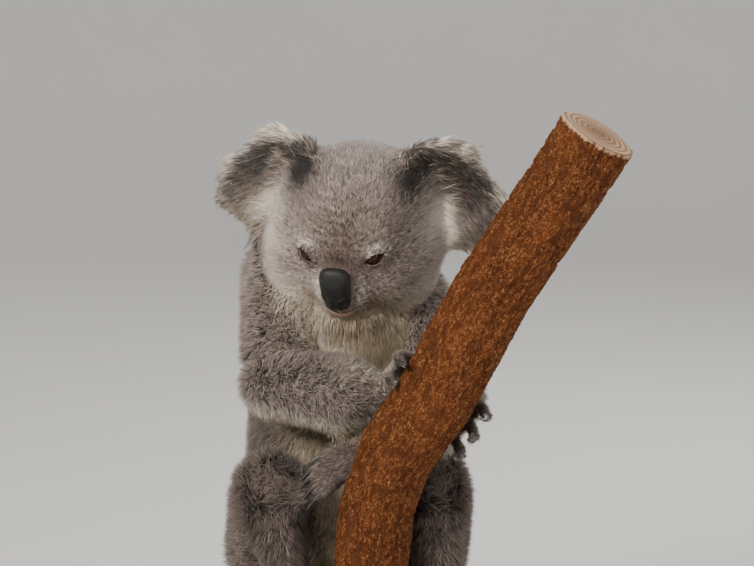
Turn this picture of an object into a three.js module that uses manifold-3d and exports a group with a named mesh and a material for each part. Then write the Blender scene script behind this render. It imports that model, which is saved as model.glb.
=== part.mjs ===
// A life-size koala sitting in the fork of a cut eucalyptus limb, on a museum stand.
// Millimetres, +Z up. The animal faces -Y, its right side is towards -X.
import * as THREE from "three";
import { mergeVertices } from "three/addons/utils/BufferGeometryUtils.js";
import Module from "manifold-3d";

const wasm = await Module();
wasm.setup();

const at = (x, y, z) => new THREE.Vector3(x, y, z);
const degrees = THREE.MathUtils.degToRad;

// Clearance between neighbouring solids.
const gap = 0.45;

// Stand: a round base and two rods; the animal and its perch are lifted onto it.
const baseRadius = 180;
const baseThickness = 22;
const baseBevel = 3;
const rodRadius = 8;
const rodHeight = 110;
const rodFeet = [at(18, -80, 0), at(-12, 105, 0)];
const onBase = at(-18, 4, 40);

// Head: centre, turn to its right, nod and tilt.
const headCentre = at(10, 0, 470);
const headTurn = degrees(-15);
const headNod = degrees(18);
const headTilt = degrees(4);
const eyeRadius = 9;
const eyeSpread = 28;
const noseHeight = 39;
const noseWidth = 26;
const earLength = 59;
const earBreadth = 42;
const earLocks = 6;
const earDroop = { right: degrees(34), left: degrees(48) };
const jawSize = at(74, 44, 40);

// Joints of the limbs, and the coat's radius round each.
const rightArm = {
  shoulder: at(-54, 42, 424),
  elbow: at(-58, -54, 346),
  middle: at(-8, -70, 341),
  wrist: at(36, -72, 337),
};
const leftArm = {
  shoulder: at(56, 38, 402),
  elbow: at(88, -24, 330),
  middle: at(60, -48, 307),
  wrist: at(24, -66, 288),
};
const rightLeg = { hip: at(-60, 24, 182), knee: at(-64, -68, 262), ankle: at(-42, -84, 156) };
const leftLeg = { hip: at(62, 30, 180), knee: at(75, -53, 259), ankle: at(80, -78, 148) };
const armRadius = { shoulder: 42, elbow: 37, middle: 33, wrist: 23 };
const legRadius = { hip: 50, knee: 38, shin: 31, ankle: 21 };

// Hands and feet: heights at which they hold the upright limb, and the size of their digits.
const rightHandHeight = 338;
const leftHandCentre = at(4, -80, 284);
const footHeight = { right: 146, left: 134 };
const digitRadius = 8.5;
const clawLength = 17;
const gripRadius = 35;

// Perch: the upright limb that the animal holds and the lower limb that it sits on.
const limbRadius = 31;
const limbSides = 12;
const uprightLine = new THREE.CatmullRomCurve3([
  at(14, -80, 44),
  at(18, -92, 140),
  at(22, -106, 215),
  at(31, -114, 280),
  at(74, -121, 347),
  at(114, -134, 430),
  at(166, -150, 510),
  at(200, -164, 568),
]);
const seatLine = new THREE.CatmullRomCurve3([
  at(22, -86, 84),
  at(8, -20, 80),
  at(-4, 50, 85),
  at(-20, 155, 106),
]);

const fur = { colour: "#8d8884", roughness: 0.95 };
const looks = {
  fur,
  ear: { colour: "#a5a19d", roughness: 0.95 },
  nose: { colour: "#2e3136", roughness: 0.55 },
  eye: { colour: "#4b2a1b", roughness: 0.15 },
  bark: { colour: "#a5683c", roughness: 0.85 },
  board: { colour: "#2b2a29", roughness: 0.6 },
  steel: { colour: "#b4b6b8", roughness: 0.3, metalness: 1 },
};

// Grid points within this distance of a soft shape's surface count as outside it, so that a surface
// which only grazes a row of them stays one clean sheet.
const graze = 1.5;

// Grid steps of the soft shapes: small enough for each part's form, large enough to stay light.
const headStep = { fine: 11, coarse: 22 };
const limbStep = { forearm: 20, upperArm: 26, thigh: 27, shank: 18 };
const trunkStep = 37;

// ---- Soft shapes: fields that are negative inside, and the mesh of their zero surface ----

// A ball stretched along the axes.
function ball(centre, rx, ry, rz) {
  return (p) => {
    const x = (p.x - centre.x) / rx;
    const y = (p.y - centre.y) / ry;
    const z = (p.z - centre.z) / rz;
    const scaled = Math.hypot(x, y, z);
    if (scaled < 1e-6) return -Math.min(rx, ry, rz);
    return (scaled * (scaled - 1)) / Math.hypot(x / rx, y / ry, z / rz);
  };
}

// A rounded bar between two points, with its own radius at each.
function bar(from, to, fromRadius, toRadius) {
  const along = to.clone().sub(from);
  const length2 = along.lengthSq();
  const offset = new THREE.Vector3();
  return (p) => {
    offset.subVectors(p, from);
    const share = THREE.MathUtils.clamp(offset.dot(along) / length2, 0, 1);
    const radius = fromRadius + (toRadius - fromRadius) * share;
    return offset.addScaledVector(along, -share).length() - radius;
  };
}

// Shapes run together with a fillet of about the given width.
function blend(width, ...shapes) {
  return (p) =>
    shapes
      .map((shape) => shape(p))
      .reduce((a, b) => {
        const overlap = Math.max(width - Math.abs(a - b), 0) / width;
        return Math.min(a, b) - (overlap * overlap * width) / 4;
      });
}

// Grid lines from one place to another, the step between them given by a function of place.
function gridLines(from, to, stepAt) {
  const lines = [from];
  while (lines[lines.length - 1] < to) {
    const last = lines[lines.length - 1];
    lines.push(last + stepAt(last));
  }
  return lines;
}

function slopeOf(field, p) {
  const reach = 0.5;
  const difference = (axis) => {
    const high = p.clone();
    const low = p.clone();
    high[axis] += reach;
    low[axis] -= reach;
    return field(high) - field(low);
  };
  return at(difference("x"), difference("y"), difference("z")).normalize();
}

// The zero surface of a field: a vertex in each grid cell that it crosses, drawn onto the surface,
// and a quad, split along its shorter diagonal, across each grid edge that it crosses.
function meshOf(field, lines) {
  const count = lines.map((line) => line.length);
  const step = [1, count[0], count[0] * count[1]];
  const placeOf = (i, j, k) => at(lines[0][i], lines[1][j], lines[2][k]);
  const value = [];
  for (let k = 0; k < count[2]; k++)
    for (let j = 0; j < count[1]; j++)
      for (let i = 0; i < count[0]; i++) {
        const depth = field(placeOf(i, j, k));
        value.push(Math.abs(depth) < graze ? graze : depth);
      }

  const position = [];
  const normal = [];
  const vertexIn = new Map();
  const corners = [0, 1, 2, 3, 4, 5, 6, 7].map((c) => [c & 1, (c >> 1) & 1, c >> 2]);
  for (let k = 0; k < count[2] - 1; k++)
    for (let j = 0; j < count[1] - 1; j++)
      for (let i = 0; i < count[0] - 1; i++) {
        const crossing = at(0, 0, 0);
        let crossings = 0;
        for (const [a, b, c] of corners)
          for (let axis = 0; axis < 3; axis++) {
            const end = [a, b, c];
            if (end[axis]) continue;
            end[axis] = 1;
            const first = value[i + a + (j + b) * step[1] + (k + c) * step[2]];
            const second = value[i + end[0] + (j + end[1]) * step[1] + (k + end[2]) * step[2]];
            if (first < 0 === second < 0) continue;
            const start = placeOf(i + a, j + b, k + c);
            const stop = placeOf(i + end[0], j + end[1], k + end[2]);
            crossing.add(start.lerp(stop, first / (first - second)));
            crossings++;
          }
        if (!crossings) continue;
        crossing.divideScalar(crossings);
        for (let pass = 0; pass < 3; pass++)
          crossing.addScaledVector(slopeOf(field, crossing), -field(crossing));
        vertexIn.set(i + j * step[1] + k * step[2], position.length / 3);
        position.push(...crossing.toArray());
        normal.push(...slopeOf(field, crossing).toArray());
      }

  const index = [];
  for (let cell = 0; cell < value.length; cell++)
    for (let axis = 0; axis < 3; axis++) {
      const next = cell + step[axis];
      if (next >= value.length || value[cell] < 0 === value[next] < 0) continue;
      const b = step[(axis + 1) % 3];
      const c = step[(axis + 2) % 3];
      const quad = [cell - b - c, cell - c, cell, cell - b].map((place) => vertexIn.get(place));
      if (quad.includes(undefined)) continue;
      if (value[cell] >= 0) quad.reverse();
      const [p, q, r, t] = quad.map((vertex) => at(...position.slice(3 * vertex, 3 * vertex + 3)));
      if (p.distanceTo(r) > q.distanceTo(t)) quad.push(quad.shift());
      index.push(quad[0], quad[1], quad[2], quad[0], quad[2], quad[3]);
    }
  const geometry = new THREE.BufferGeometry();
  geometry.setAttribute("position", new THREE.Float32BufferAttribute(position, 3));
  geometry.setAttribute("normal", new THREE.Float32BufferAttribute(normal, 3));
  return geometry.setIndex(index);
}

// A soft shape in an even grid round the given points.
function evenMesh(field, points, reach, cell) {
  const box = new THREE.Box3().setFromPoints(points).expandByScalar(reach);
  const even = () => cell;
  return meshOf(
    field,
    ["x", "y", "z"].map((axis) => gridLines(box.min[axis], box.max[axis], even)),
  );
}

// ---- Geometry helpers ----

// A geometry with its seams closed.
function closed(geometry) {
  geometry.deleteAttribute("normal");
  geometry.deleteAttribute("uv");
  return mergeVertices(geometry, 1e-3);
}

// Moves each vertex by a function of its place.
function reshaped(geometry, move) {
  const position = geometry.attributes.position;
  const p = new THREE.Vector3();
  for (let i = 0; i < position.count; i++) {
    move(p.fromBufferAttribute(position, i));
    position.setXYZ(i, p.x, p.y, p.z);
  }
  return closed(geometry);
}

// A geometry swollen by the clearance, to cut a neighbour with.
function swollen(geometry) {
  const grown = geometry.clone();
  if (!grown.attributes.normal) grown.computeVertexNormals();
  const normal = grown.attributes.normal;
  const position = grown.attributes.position;
  for (let i = 0; i < position.count; i++)
    position.setXYZ(
      i,
      position.getX(i) + normal.getX(i) * gap,
      position.getY(i) + normal.getY(i) * gap,
      position.getZ(i) + normal.getZ(i) * gap,
    );
  return grown;
}

function solidOf(geometry) {
  return new wasm.Manifold(
    new wasm.Mesh({
      numProp: 3,
      vertProperties: new Float32Array(geometry.attributes.position.array),
      triVerts: new Uint32Array(geometry.index.array),
    }),
  );
}

// Welds the vertices that a cut leaves almost on one another, and drops what collapses with them.
function welded(geometry) {
  const merged = mergeVertices(geometry, 0.01);
  const corners = merged.index.array;
  const kept = new Map();
  for (let i = 0; i < corners.length; i += 3) {
    const triangle = [corners[i], corners[i + 1], corners[i + 2]];
    if (new Set(triangle).size < 3) continue;
    const key = [...triangle].sort().join();
    if (!kept.delete(key)) kept.set(key, triangle);
  }
  return merged.setIndex([...kept.values()].flat());
}

function geometryOf(solid) {
  const mesh = solid.getMesh();
  const geometry = new THREE.BufferGeometry();
  geometry.setAttribute("position", new THREE.BufferAttribute(mesh.vertProperties, 3));
  geometry.setIndex(new THREE.BufferAttribute(mesh.triVerts, 1));
  return welded(geometry);
}

function biggestBody(solid) {
  return solid.decompose().sort((a, b) => b.volume() - a.volume())[0];
}

function joined(geometries) {
  return geometryOf(geometries.map(solidOf).reduce((whole, piece) => whole.add(piece)));
}

// A rod along a smooth curve, its radius given at each share of the way and angle round it.
function rodAlong(curve, radiusAt, sides, rings) {
  const frames = curve.computeFrenetFrames(rings);
  return reshaped(new THREE.CylinderGeometry(1, 1, 1, sides, rings), (p) => {
    const ring = Math.round((p.y + 0.5) * rings);
    const radius = radiusAt(ring / rings, Math.atan2(p.x, p.z));
    const { x, z } = p;
    p.copy(curve.getPointAt(ring / rings));
    p.addScaledVector(frames.normals[ring], x * radius);
    p.addScaledVector(frames.binormals[ring], -z * radius);
  });
}

// ---- Perch ----

// Bark swells and dips slowly along a limb.
const barkWave = (share, angle) =>
  1 + 0.035 * Math.sin(2 * angle + 9 * share) + 0.025 * Math.sin(3 * angle - 17 * share);

function perchLimbs() {
  const upright = rodAlong(
    uprightLine,
    (share, angle) =>
      (limbRadius + 2.5 * share + 6 * Math.max(0, 1 - 6 * share)) * barkWave(share, angle),
    limbSides,
    11,
  );
  const seat = rodAlong(
    seatLine,
    (share, angle) => (limbRadius - 3 * share) * barkWave(share, angle + 1),
    limbSides,
    5,
  );
  return [upright, seat];
}

// A point beside the upright limb: its height, the angle round it from the front, where +90 is the
// animal's left, and the distance out from the limb's middle.
function besideLimb(height, angle, out) {
  let share = 0;
  while (uprightLine.getPointAt(share).z < height) share += 0.002;
  const along = uprightLine.getTangentAt(share);
  const front = at(0, -1, 0).projectOnPlane(along).normalize();
  const side = along.clone().cross(front);
  return uprightLine
    .getPointAt(share)
    .addScaledVector(front, out * Math.cos(degrees(angle)))
    .addScaledVector(side, out * Math.sin(degrees(angle)));
}

// ---- Hands and feet ----

// One digit through the given points, tapering into a claw that bends on towards `bend`.
function digit(points, bend) {
  const tip = points[points.length - 1];
  const onward = tip.clone().sub(points[points.length - 2]).normalize();
  const clawTip = tip.clone().addScaledVector(onward, clawLength * 0.85);
  clawTip.addScaledVector(bend, clawLength * 0.35);
  const curve = new THREE.CatmullRomCurve3([...points, clawTip]);
  const clawShare = 1 - clawLength / curve.getLength();
  const radiusAt = (share) =>
    share < clawShare
      ? digitRadius * (1 - 0.3 * share)
      : 4 * (1 - (share - clawShare) / (1 - clawShare)) + 0.5;
  return rodAlong(curve, radiusAt, 5, 4);
}

// A digit that curls round the upright limb at one height, between two angles.
function curledDigit(height, fromAngle, toAngle, rise) {
  const points = [0, 1, 2, 3].map((i) => {
    const share = i / 3;
    const angle = THREE.MathUtils.lerp(fromAngle, toAngle, share);
    return besideLimb(height + rise * share, angle, gripRadius + digitRadius);
  });
  const inward = besideLimb(height + rise, toAngle, 0).sub(points[3]).normalize();
  return digit(points, inward);
}

function palm(centre, rx, ry, rz) {
  return reshaped(new THREE.SphereGeometry(1, 8, 5), (p) =>
    p.multiply(at(rx, ry, rz)).add(centre),
  );
}

// The right hand holds the limb from behind: three digits round its far side, two round its near side.
function rightHandShape() {
  const height = rightHandHeight;
  const pieces = [palm(besideLimb(height, 190, gripRadius + 13), 26, 15, 25)];
  for (let i = 0; i < 3; i++)
    pieces.push(curledDigit(height - 11 + 11 * i, 180, 75, 3 * (i - 1)));
  for (let i = 0; i < 2; i++)
    pieces.push(curledDigit(height + 2 + 14 * i, 210, 285, 3 + 5 * i));
  return pieces;
}

// The left hand comes out from behind the limb and hangs over the right knee, claws down.
function leftHandShape() {
  const centre = leftHandCentre;
  const pieces = [palm(centre, 26, 14, 19)];
  for (let i = 0; i < 5; i++) {
    const spread = i - 2;
    const shorter = 3 * Math.abs(spread);
    const root = centre.clone().add(at(-10, -2, -2 - 6 * spread));
    const knuckle = centre.clone().add(at(-22 + shorter, -6, -5 - 7.5 * spread));
    const end = centre.clone().add(at(-29 + shorter, -7, -9 - 8 * spread));
    pieces.push(digit([root, knuckle, end], at(-0.4, 0.2, -1).normalize()));
  }
  return pieces;
}

// A foot holds the lower end of the limb from one side: side is -1 for the right, +1 for the left.
function footShape(side, height, ankle) {
  const sole = besideLimb(height, side * 98, gripRadius + 15);
  const heel = ankle.clone().lerp(sole, 0.35).add(at(0, 10, -12));
  const pieces = [palm(sole, 16, 29, 26), palm(heel, 18, 24, 19)];
  for (let i = 0; i < 4; i++)
    pieces.push(curledDigit(height - 20 + 12.5 * i, side * 76, side * 36, 2 * (i - 2)));
  pieces.push(curledDigit(height - 4, side * 118, side * 158, 8));
  return pieces;
}

// ---- Head ----

const headPlace = new THREE.Matrix4()
  .makeRotationZ(headTurn)
  .multiply(new THREE.Matrix4().makeRotationX(headNod))
  .multiply(new THREE.Matrix4().makeRotationY(headTilt))
  .setPosition(headCentre);

const pair = (x, y, z, rx, ry, rz) => [-1, 1].map((side) => ball(at(side * x, y, z), rx, ry, rz));

const headField = blend(
  14,
  ball(at(0, 12, 12), 68, 66, 60),
  ...pair(46, 14, 36, 26, 30, 26),
  ball(at(-44, 2, -20), 40, 46, 45),
  ball(at(38, 2, -20), 38, 46, 45),
  ball(at(-39, -22, -38), 30, 28, 27),
  ball(at(33, -25, -37), 27, 26, 25),
  ...pair(25, -42, 12, 17, 14, 10),
  ball(at(0, -40, -4), 23, 22, 24),
  ball(at(0, -44, -30), 29, 25, 26),
  ball(at(0, -42, -50), 19, 19, 11),
);

function headShape() {
  const { fine, coarse } = headStep;
  return meshOf(headField, [
    gridLines(-92, 92, (x) => (Math.abs(x + 3) < 42 ? fine : coarse)),
    gridLines(-84, 96, (y) => (y < -26 ? fine : coarse)),
    gridLines(-76, 96, (z) => (z < 14 ? fine : coarse)),
  ]);
}

// side is -1 for the animal's right, +1 for its left.
const eyeCentre = (side) => at(side * eyeSpread, -47, -2);

function eyeShape(side) {
  return reshaped(new THREE.SphereGeometry(eyeRadius, 12, 7), (p) => p.add(eyeCentre(side)));
}

// The hollow between brow and cheek that the eye looks out of.
function socketShape(side) {
  return reshaped(new THREE.SphereGeometry(1, 12, 6), (p) =>
    p
      .multiply(at(11, 8, 8.5))
      .applyAxisAngle(at(0, 1, 0), side * degrees(12))
      .add(at(side * (eyeSpread + 2), -57, -2)),
  );
}

// The nose pad: a tall rounded shield, a little narrower below, leaning forward at its foot.
function noseShape() {
  const soften = (value) => Math.sign(value) * Math.abs(value) ** 0.62;
  const pad = reshaped(new THREE.SphereGeometry(1, 14, 8), (p) => {
    p.set(soften(p.x), p.y, soften(p.z));
    p.set(
      p.x * (noseWidth / 2) * (1 + 0.1 * p.z),
      p.y * 8,
      p.z * (noseHeight / 2),
    );
    p.applyAxisAngle(at(1, 0, 0), degrees(15)).add(at(-1, -69, -25));
  });
  const nostrils = [-1, 1].map((side) =>
    solidOf(
      reshaped(new THREE.SphereGeometry(1, 8, 5), (p) =>
        p
          .multiply(at(2.2, 5, 4.5))
          .applyAxisAngle(at(0, 1, 0), side * degrees(-35))
          .add(at(side * 8.5, -81, -38)),
      ),
    ),
  );
  return geometryOf(nostrils.reduce((solid, hole) => solid.subtract(hole), solidOf(pad)));
}

// An ear: a thick fan, hollow in front, that droops outwards; its fringe ends in soft locks.
function earShape(side) {
  const droop = side < 0 ? earDroop.right : earDroop.left;
  const place = new THREE.Matrix4()
    .makeRotationZ(side * degrees(20))
    .multiply(new THREE.Matrix4().makeRotationX(degrees(-10)))
    .multiply(new THREE.Matrix4().makeRotationY(side * droop))
    .setPosition(at(side * 83, 14, 32));
  return reshaped(new THREE.SphereGeometry(1, 3 * earLocks, 6), (p) => {
    const across = Math.hypot(p.x, p.z);
    const middle = 1 - across * across;
    const lock = 1 + 0.05 * Math.cos(earLocks * Math.atan2(p.z, p.x)) * across;
    const front = -p.y;
    const depth = 14 * middle - front * (5 + 5 * middle);
    p.set(p.x * earLength * lock, depth, p.z * earBreadth * lock).applyMatrix4(place);
  });
}

// ---- Trunk and limbs ----

const trunkField = blend(
  30,
  ball(at(2, 56, 392), 88, 68, 78),
  ball(at(8, 4, 384), 56, 46, 52),
  ball(at(1, 52, 330), 88, 76, 80),
  ball(at(0, 46, 262), 93, 84, 90),
  ball(at(0, 40, 188), 92, 88, 80),
  ball(at(6, 36, 442), 66, 54, 48),
);

function limbMesh(field, points, cell) {
  return evenMesh(field, points, legRadius.hip + cell, cell);
}

// ---- Cutting and naming ----

// The animal's solids, first come first served: each is cut by the swollen shape of those before it.
const earlier = [];
const parts = [];
const boxesMeet = (a, b) => {
  const reach = new THREE.Box3().setFromBufferAttribute(a.attributes.position).expandByScalar(1);
  return reach.intersectsBox(new THREE.Box3().setFromBufferAttribute(b.attributes.position));
};

function settle(...pieces) {
  const whole = joined(pieces);
  let solid = solidOf(whole);
  for (const other of earlier)
    if (boxesMeet(other, whole)) solid = solid.subtract(solidOf(swollen(other)));
  earlier.push(...pieces);
  return biggestBody(solid);
}

function keep(name, solid, look) {
  parts.push([name, solid, look]);
}

// A thin square wall through a place, facing along a direction.
function wallAt(place, facing, breadth) {
  const turn = new THREE.Quaternion().setFromUnitVectors(at(0, 0, 1), facing);
  return solidOf(
    reshaped(new THREE.BoxGeometry(breadth, breadth, gap), (p) =>
      p.applyQuaternion(turn).add(place),
    ),
  );
}

// Parts a solid in two and gives back the body nearer the first point, then the other.
function parted(solid, wall, first) {
  const bodies = solid
    .subtract(wall)
    .decompose()
    .sort((a, b) => b.volume() - a.volume())
    .slice(0, 2);
  const far = (body) => {
    const { min, max } = body.boundingBox();
    return at(...min.map((low, i) => (low + max[i]) / 2)).distanceTo(first);
  };
  return bodies.sort((a, b) => far(a) - far(b));
}

function toHead(geometry) {
  return geometry.applyMatrix4(headPlace);
}

const perch = perchLimbs();
keep("perch_branch", settle(...perch), looks.bark);

for (const [side, name] of [[-1, "right"], [1, "left"]]) {
  const eye = toHead(eyeShape(side));
  earlier.push(eye);
  keep(`eye_${name}`, solidOf(eye), looks.eye);
}
keep("nose", settle(toHead(noseShape())), looks.nose);

// The block that parts the lower jaw from the head.
const jawBox = (grow) =>
  solidOf(
    toHead(
      reshaped(new THREE.BoxGeometry(...jawSize.clone().addScalar(grow).toArray()), (p) =>
        p.applyAxisAngle(at(1, 0, 0), degrees(6)).add(at(0, -58, -67)),
      ),
    ),
  );
const headSolid = [-1, 1].reduce(
  (solid, side) => solid.subtract(solidOf(toHead(socketShape(side)))),
  settle(toHead(headShape())),
);
keep("head", biggestBody(headSolid.subtract(jawBox(gap))), looks.fur);
keep("lower_jaw", biggestBody(headSolid.intersect(jawBox(0))), looks.fur);

for (const [side, name] of [[-1, "right"], [1, "left"]])
  keep(`ear_${name}`, settle(toHead(earShape(side))), looks.ear);

const arms = [["right", rightArm, rightHandShape], ["left", leftArm, leftHandShape]];
for (const [name, arm, handShape] of arms) {
  const { shoulder, elbow, middle, wrist } = arm;
  const fore = blend(
    20,
    bar(elbow, middle, armRadius.elbow, armRadius.middle),
    bar(middle, wrist, armRadius.middle, armRadius.wrist),
  );
  keep(`forearm_${name}`, settle(limbMesh(fore, [elbow, middle, wrist], limbStep.forearm)), looks.fur);
  const upper = bar(shoulder, elbow, armRadius.shoulder, armRadius.elbow - 2);
  keep(`upper_arm_${name}`, settle(limbMesh(upper, [shoulder, elbow], limbStep.upperArm)), looks.fur);
  keep(`hand_${name}`, settle(...handShape()), looks.fur);
}

const legs = [["right", rightLeg, -1], ["left", leftLeg, 1]];
for (const [name, leg, side] of legs) {
  const thigh = bar(leg.hip, leg.knee, legRadius.hip, legRadius.knee);
  keep(`thigh_${name}`, settle(limbMesh(thigh, [leg.hip, leg.knee], limbStep.thigh)), looks.fur);
  const shank = bar(leg.knee, leg.ankle, legRadius.shin, legRadius.ankle);
  keep(`shank_${name}`, settle(limbMesh(shank, [leg.knee, leg.ankle], limbStep.shank)), looks.fur);
  keep(`foot_${name}`, settle(...footShape(side, footHeight[name], leg.ankle)), looks.fur);
}

const trunkWhole = settle(evenMesh(trunkField, [at(0, 50, 190), at(0, 50, 440)], 112, trunkStep));
const [neck, trunk] = parted(
  trunkWhole,
  wallAt(at(4, 42, 440), at(0.05, -0.5, 1).normalize(), 260),
  headCentre,
);
keep("neck", neck, looks.fur);
keep("trunk", trunk, looks.fur);

// ---- The finished model ----

function meshFrom(name, geometry, { colour, roughness, metalness = 0 }) {
  const material = new THREE.MeshStandardMaterial({ color: colour, roughness, metalness });
  const mesh = new THREE.Mesh(geometry, material);
  mesh.name = name;
  return mesh;
}

const model = new THREE.Group();
const animal = new THREE.Group();
animal.position.copy(onBase);
model.add(animal);
for (const [name, solid, look] of parts) animal.add(meshFrom(name, geometryOf(solid), look));

// The base: a round board with a bevelled upper edge.
function baseShape() {
  const outline = new THREE.Shape();
  outline.moveTo(0, 0);
  outline.lineTo(baseRadius, 0);
  outline.lineTo(baseRadius, baseThickness - baseBevel);
  outline.lineTo(baseRadius - baseBevel, baseThickness);
  outline.lineTo(0, baseThickness);
  return closed(new THREE.LatheGeometry(outline.getPoints(), 36).rotateX(Math.PI / 2));
}
model.add(meshFrom("stand_base", baseShape(), looks.board));

// Rods stand on the base and meet the underside of the perch.
rodFeet.forEach((foot, i) => {
  const place = foot.clone().add(onBase);
  const bottom = baseThickness + gap;
  const rod = new THREE.CylinderGeometry(rodRadius, rodRadius, rodHeight, 16).rotateX(Math.PI / 2);
  const whole = closed(rod).translate(place.x, place.y, bottom + rodHeight / 2);
  const lowest = perch
    .map((limb) => solidOf(swollen(limb).translate(onBase.x, onBase.y, onBase.z)))
    .reduce((solid, limb) => solid.subtract(limb), solidOf(whole))
    .decompose()
    .sort((a, b) => a.boundingBox().min[2] - b.boundingBox().min[2])[0];
  model.add(meshFrom(`stand_rod_${i + 1}`, geometryOf(lowest), looks.steel));
});

export default model;
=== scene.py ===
import math
import bmesh
import bpy
import numpy as np
from mathutils import Matrix, Vector
from mathutils.bvhtree import BVHTree


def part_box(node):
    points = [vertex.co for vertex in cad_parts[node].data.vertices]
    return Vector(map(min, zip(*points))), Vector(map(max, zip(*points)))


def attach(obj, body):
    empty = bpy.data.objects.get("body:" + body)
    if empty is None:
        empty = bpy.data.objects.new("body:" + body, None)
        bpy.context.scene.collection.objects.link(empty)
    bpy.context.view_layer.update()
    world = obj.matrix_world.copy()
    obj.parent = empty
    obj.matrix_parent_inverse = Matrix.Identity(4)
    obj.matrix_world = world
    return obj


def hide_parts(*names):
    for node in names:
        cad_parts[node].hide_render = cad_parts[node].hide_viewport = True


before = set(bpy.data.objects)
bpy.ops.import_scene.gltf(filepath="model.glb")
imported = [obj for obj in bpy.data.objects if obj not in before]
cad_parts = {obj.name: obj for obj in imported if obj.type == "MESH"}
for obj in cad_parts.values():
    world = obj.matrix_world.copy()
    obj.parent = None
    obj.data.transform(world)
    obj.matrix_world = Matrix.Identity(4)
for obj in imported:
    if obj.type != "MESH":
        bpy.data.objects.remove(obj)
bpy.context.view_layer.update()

# The animal's own millimetres (it faces -Y, its right side is towards -X) and the model's metres.
lift = np.array([-18.0, 4.0, 40.0])


def toModel(points):
    return (np.asarray(points, float) + lift) / 1000


def toAnimal(points):
    return np.asarray(points, float) * 1000 - lift


headPose = {"centre": (10, 0, 470), "turn": -15, "nod": 18, "tilt": 4}
headTurning = (
    Matrix.Rotation(math.radians(headPose["turn"]), 4, "Z")
    @ Matrix.Rotation(math.radians(headPose["nod"]), 4, "X")
    @ Matrix.Rotation(math.radians(headPose["tilt"]), 4, "Y")
)
headFrame = Matrix.Translation(headPose["centre"]) @ headTurning
headAxes = np.array(headFrame.to_3x3())
headCentre = np.array(headPose["centre"], float)


def toHead(points):
    return (points - headCentre) @ headAxes


def fromHead(points):
    return np.asarray(points, float) @ headAxes.T + headCentre


def putInScene(name, data):
    holder = bpy.data.objects.new(name, data)
    bpy.context.scene.collection.objects.link(holder)
    return holder


def addObject(name, mesh, material=None, replaces=()):
    piece = putInScene(name, mesh)
    if material:
        mesh.materials.append(material)
    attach(piece, "root")
    if replaces:
        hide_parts(*replaces)


def meshFrom(shape, name):
    bmesh.ops.recalc_face_normals(shape, faces=shape.faces[:])
    mesh = bpy.data.meshes.new(name)
    shape.to_mesh(mesh)
    shape.free()
    mesh.shade_smooth()
    return mesh


def readVectors(items, key, width=3):
    values = np.empty(len(items) * width, np.float32)
    items.foreach_get(key, values)
    return values.reshape(-1, width).astype(float)


def readWholes(items, key, width=1):
    values = np.empty(len(items) * width, np.int32)
    items.foreach_get(key, values)
    return values


def packed(values):
    return np.ascontiguousarray(values, np.float32).ravel()


def storeNumbers(mesh, name, values):
    mesh.attributes.new(name, "FLOAT", "POINT").data.foreach_set("value", packed(values))


def storeVectors(mesh, name, values):
    mesh.attributes.new(name, "FLOAT_VECTOR", "POINT").data.foreach_set("vector", packed(values))


def unit(vectors):
    return vectors / np.maximum(np.linalg.norm(vectors, axis=-1, keepdims=True), 1e-12)


def inSurface(vectors, normals):
    # the vectors without their share along the normals
    return vectors - normals * (vectors * normals).sum(-1, keepdims=True)


def ramp(values, low, high):
    share = np.clip((np.asarray(values, float) - low) / (high - low), 0, 1)
    return share * share * (3 - 2 * share)


def hill(points, centre, reach):
    away = (points - np.array(centre, float)) / np.array(reach, float)
    return np.exp(-(away * away).sum(1))


def bell(away, width, power=2):
    return np.exp(-((away / width) ** power))


def distanceTo(line, points):
    # how far each point is from the nearest point of a line
    return np.sqrt(((points[:, None, :] - line[None]) ** 2).sum(2)).min(1)


def ripples(points, size, seed, waves=14):
    # smooth noise between about -1 and 1, its humps about `size` across
    rng = np.random.default_rng(seed)
    headings = unit(rng.normal(size=(waves, 3))) * (2 * math.pi / size)
    headings *= rng.uniform(0.6, 1.5, (waves, 1))
    phases = rng.uniform(0, 2 * math.pi, waves)
    return np.sin(points @ headings.T + phases).sum(1) / math.sqrt(waves)


def smoothCurve(points, steps):
    # a Catmull-Rom curve through the points, evenly spaced along its length
    knots = np.array(points, float)
    ends = np.vstack([2 * knots[0] - knots[1], knots, 2 * knots[-1] - knots[-2]])
    dense = []
    for i in range(len(knots) - 1):
        a, b, c, d = ends[i : i + 4]
        for t in np.linspace(0, 1, 40, endpoint=False):
            dense.append(
                0.5
                * (
                    2 * b
                    + (c - a) * t
                    + (2 * a - 5 * b + 4 * c - d) * t * t
                    + (3 * b - a - 3 * c + d) * t**3
                )
            )
    dense = np.vstack([dense, knots[-1]])
    run = np.concatenate([[0], np.cumsum(np.linalg.norm(np.diff(dense, axis=0), axis=1))])
    where = np.linspace(0, run[-1], steps + 1)
    return np.stack([np.interp(where, run, dense[:, axis]) for axis in range(3)], 1)


def addTube(shape, path, radii, sides=16):
    # a closed round tube along a path, its radius given at each step
    path = np.asarray(path, float)
    forward = unit(np.gradient(path, axis=0))
    side = unit(np.cross(forward[0], (0.3, 0.2, 1.0)))
    rings = []
    for centre, heading, radius in zip(path, forward, radii):
        side = unit(side - heading * (side @ heading))
        up = np.cross(heading, side)
        angles = [2 * math.pi * k / sides for k in range(sides)]
        spots = [centre + radius * (side * math.cos(a) + up * math.sin(a)) for a in angles]
        ring = [shape.verts.new(spot) for spot in spots]
        if rings:
            before = rings[-1]
            for k in range(sides):
                after = (k + 1) % sides
                shape.faces.new((before[k], before[after], ring[after], ring[k]))
        rings.append(ring)
    shape.faces.new(rings[0])
    shape.faces.new(list(reversed(rings[-1])))
    return rings


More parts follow.
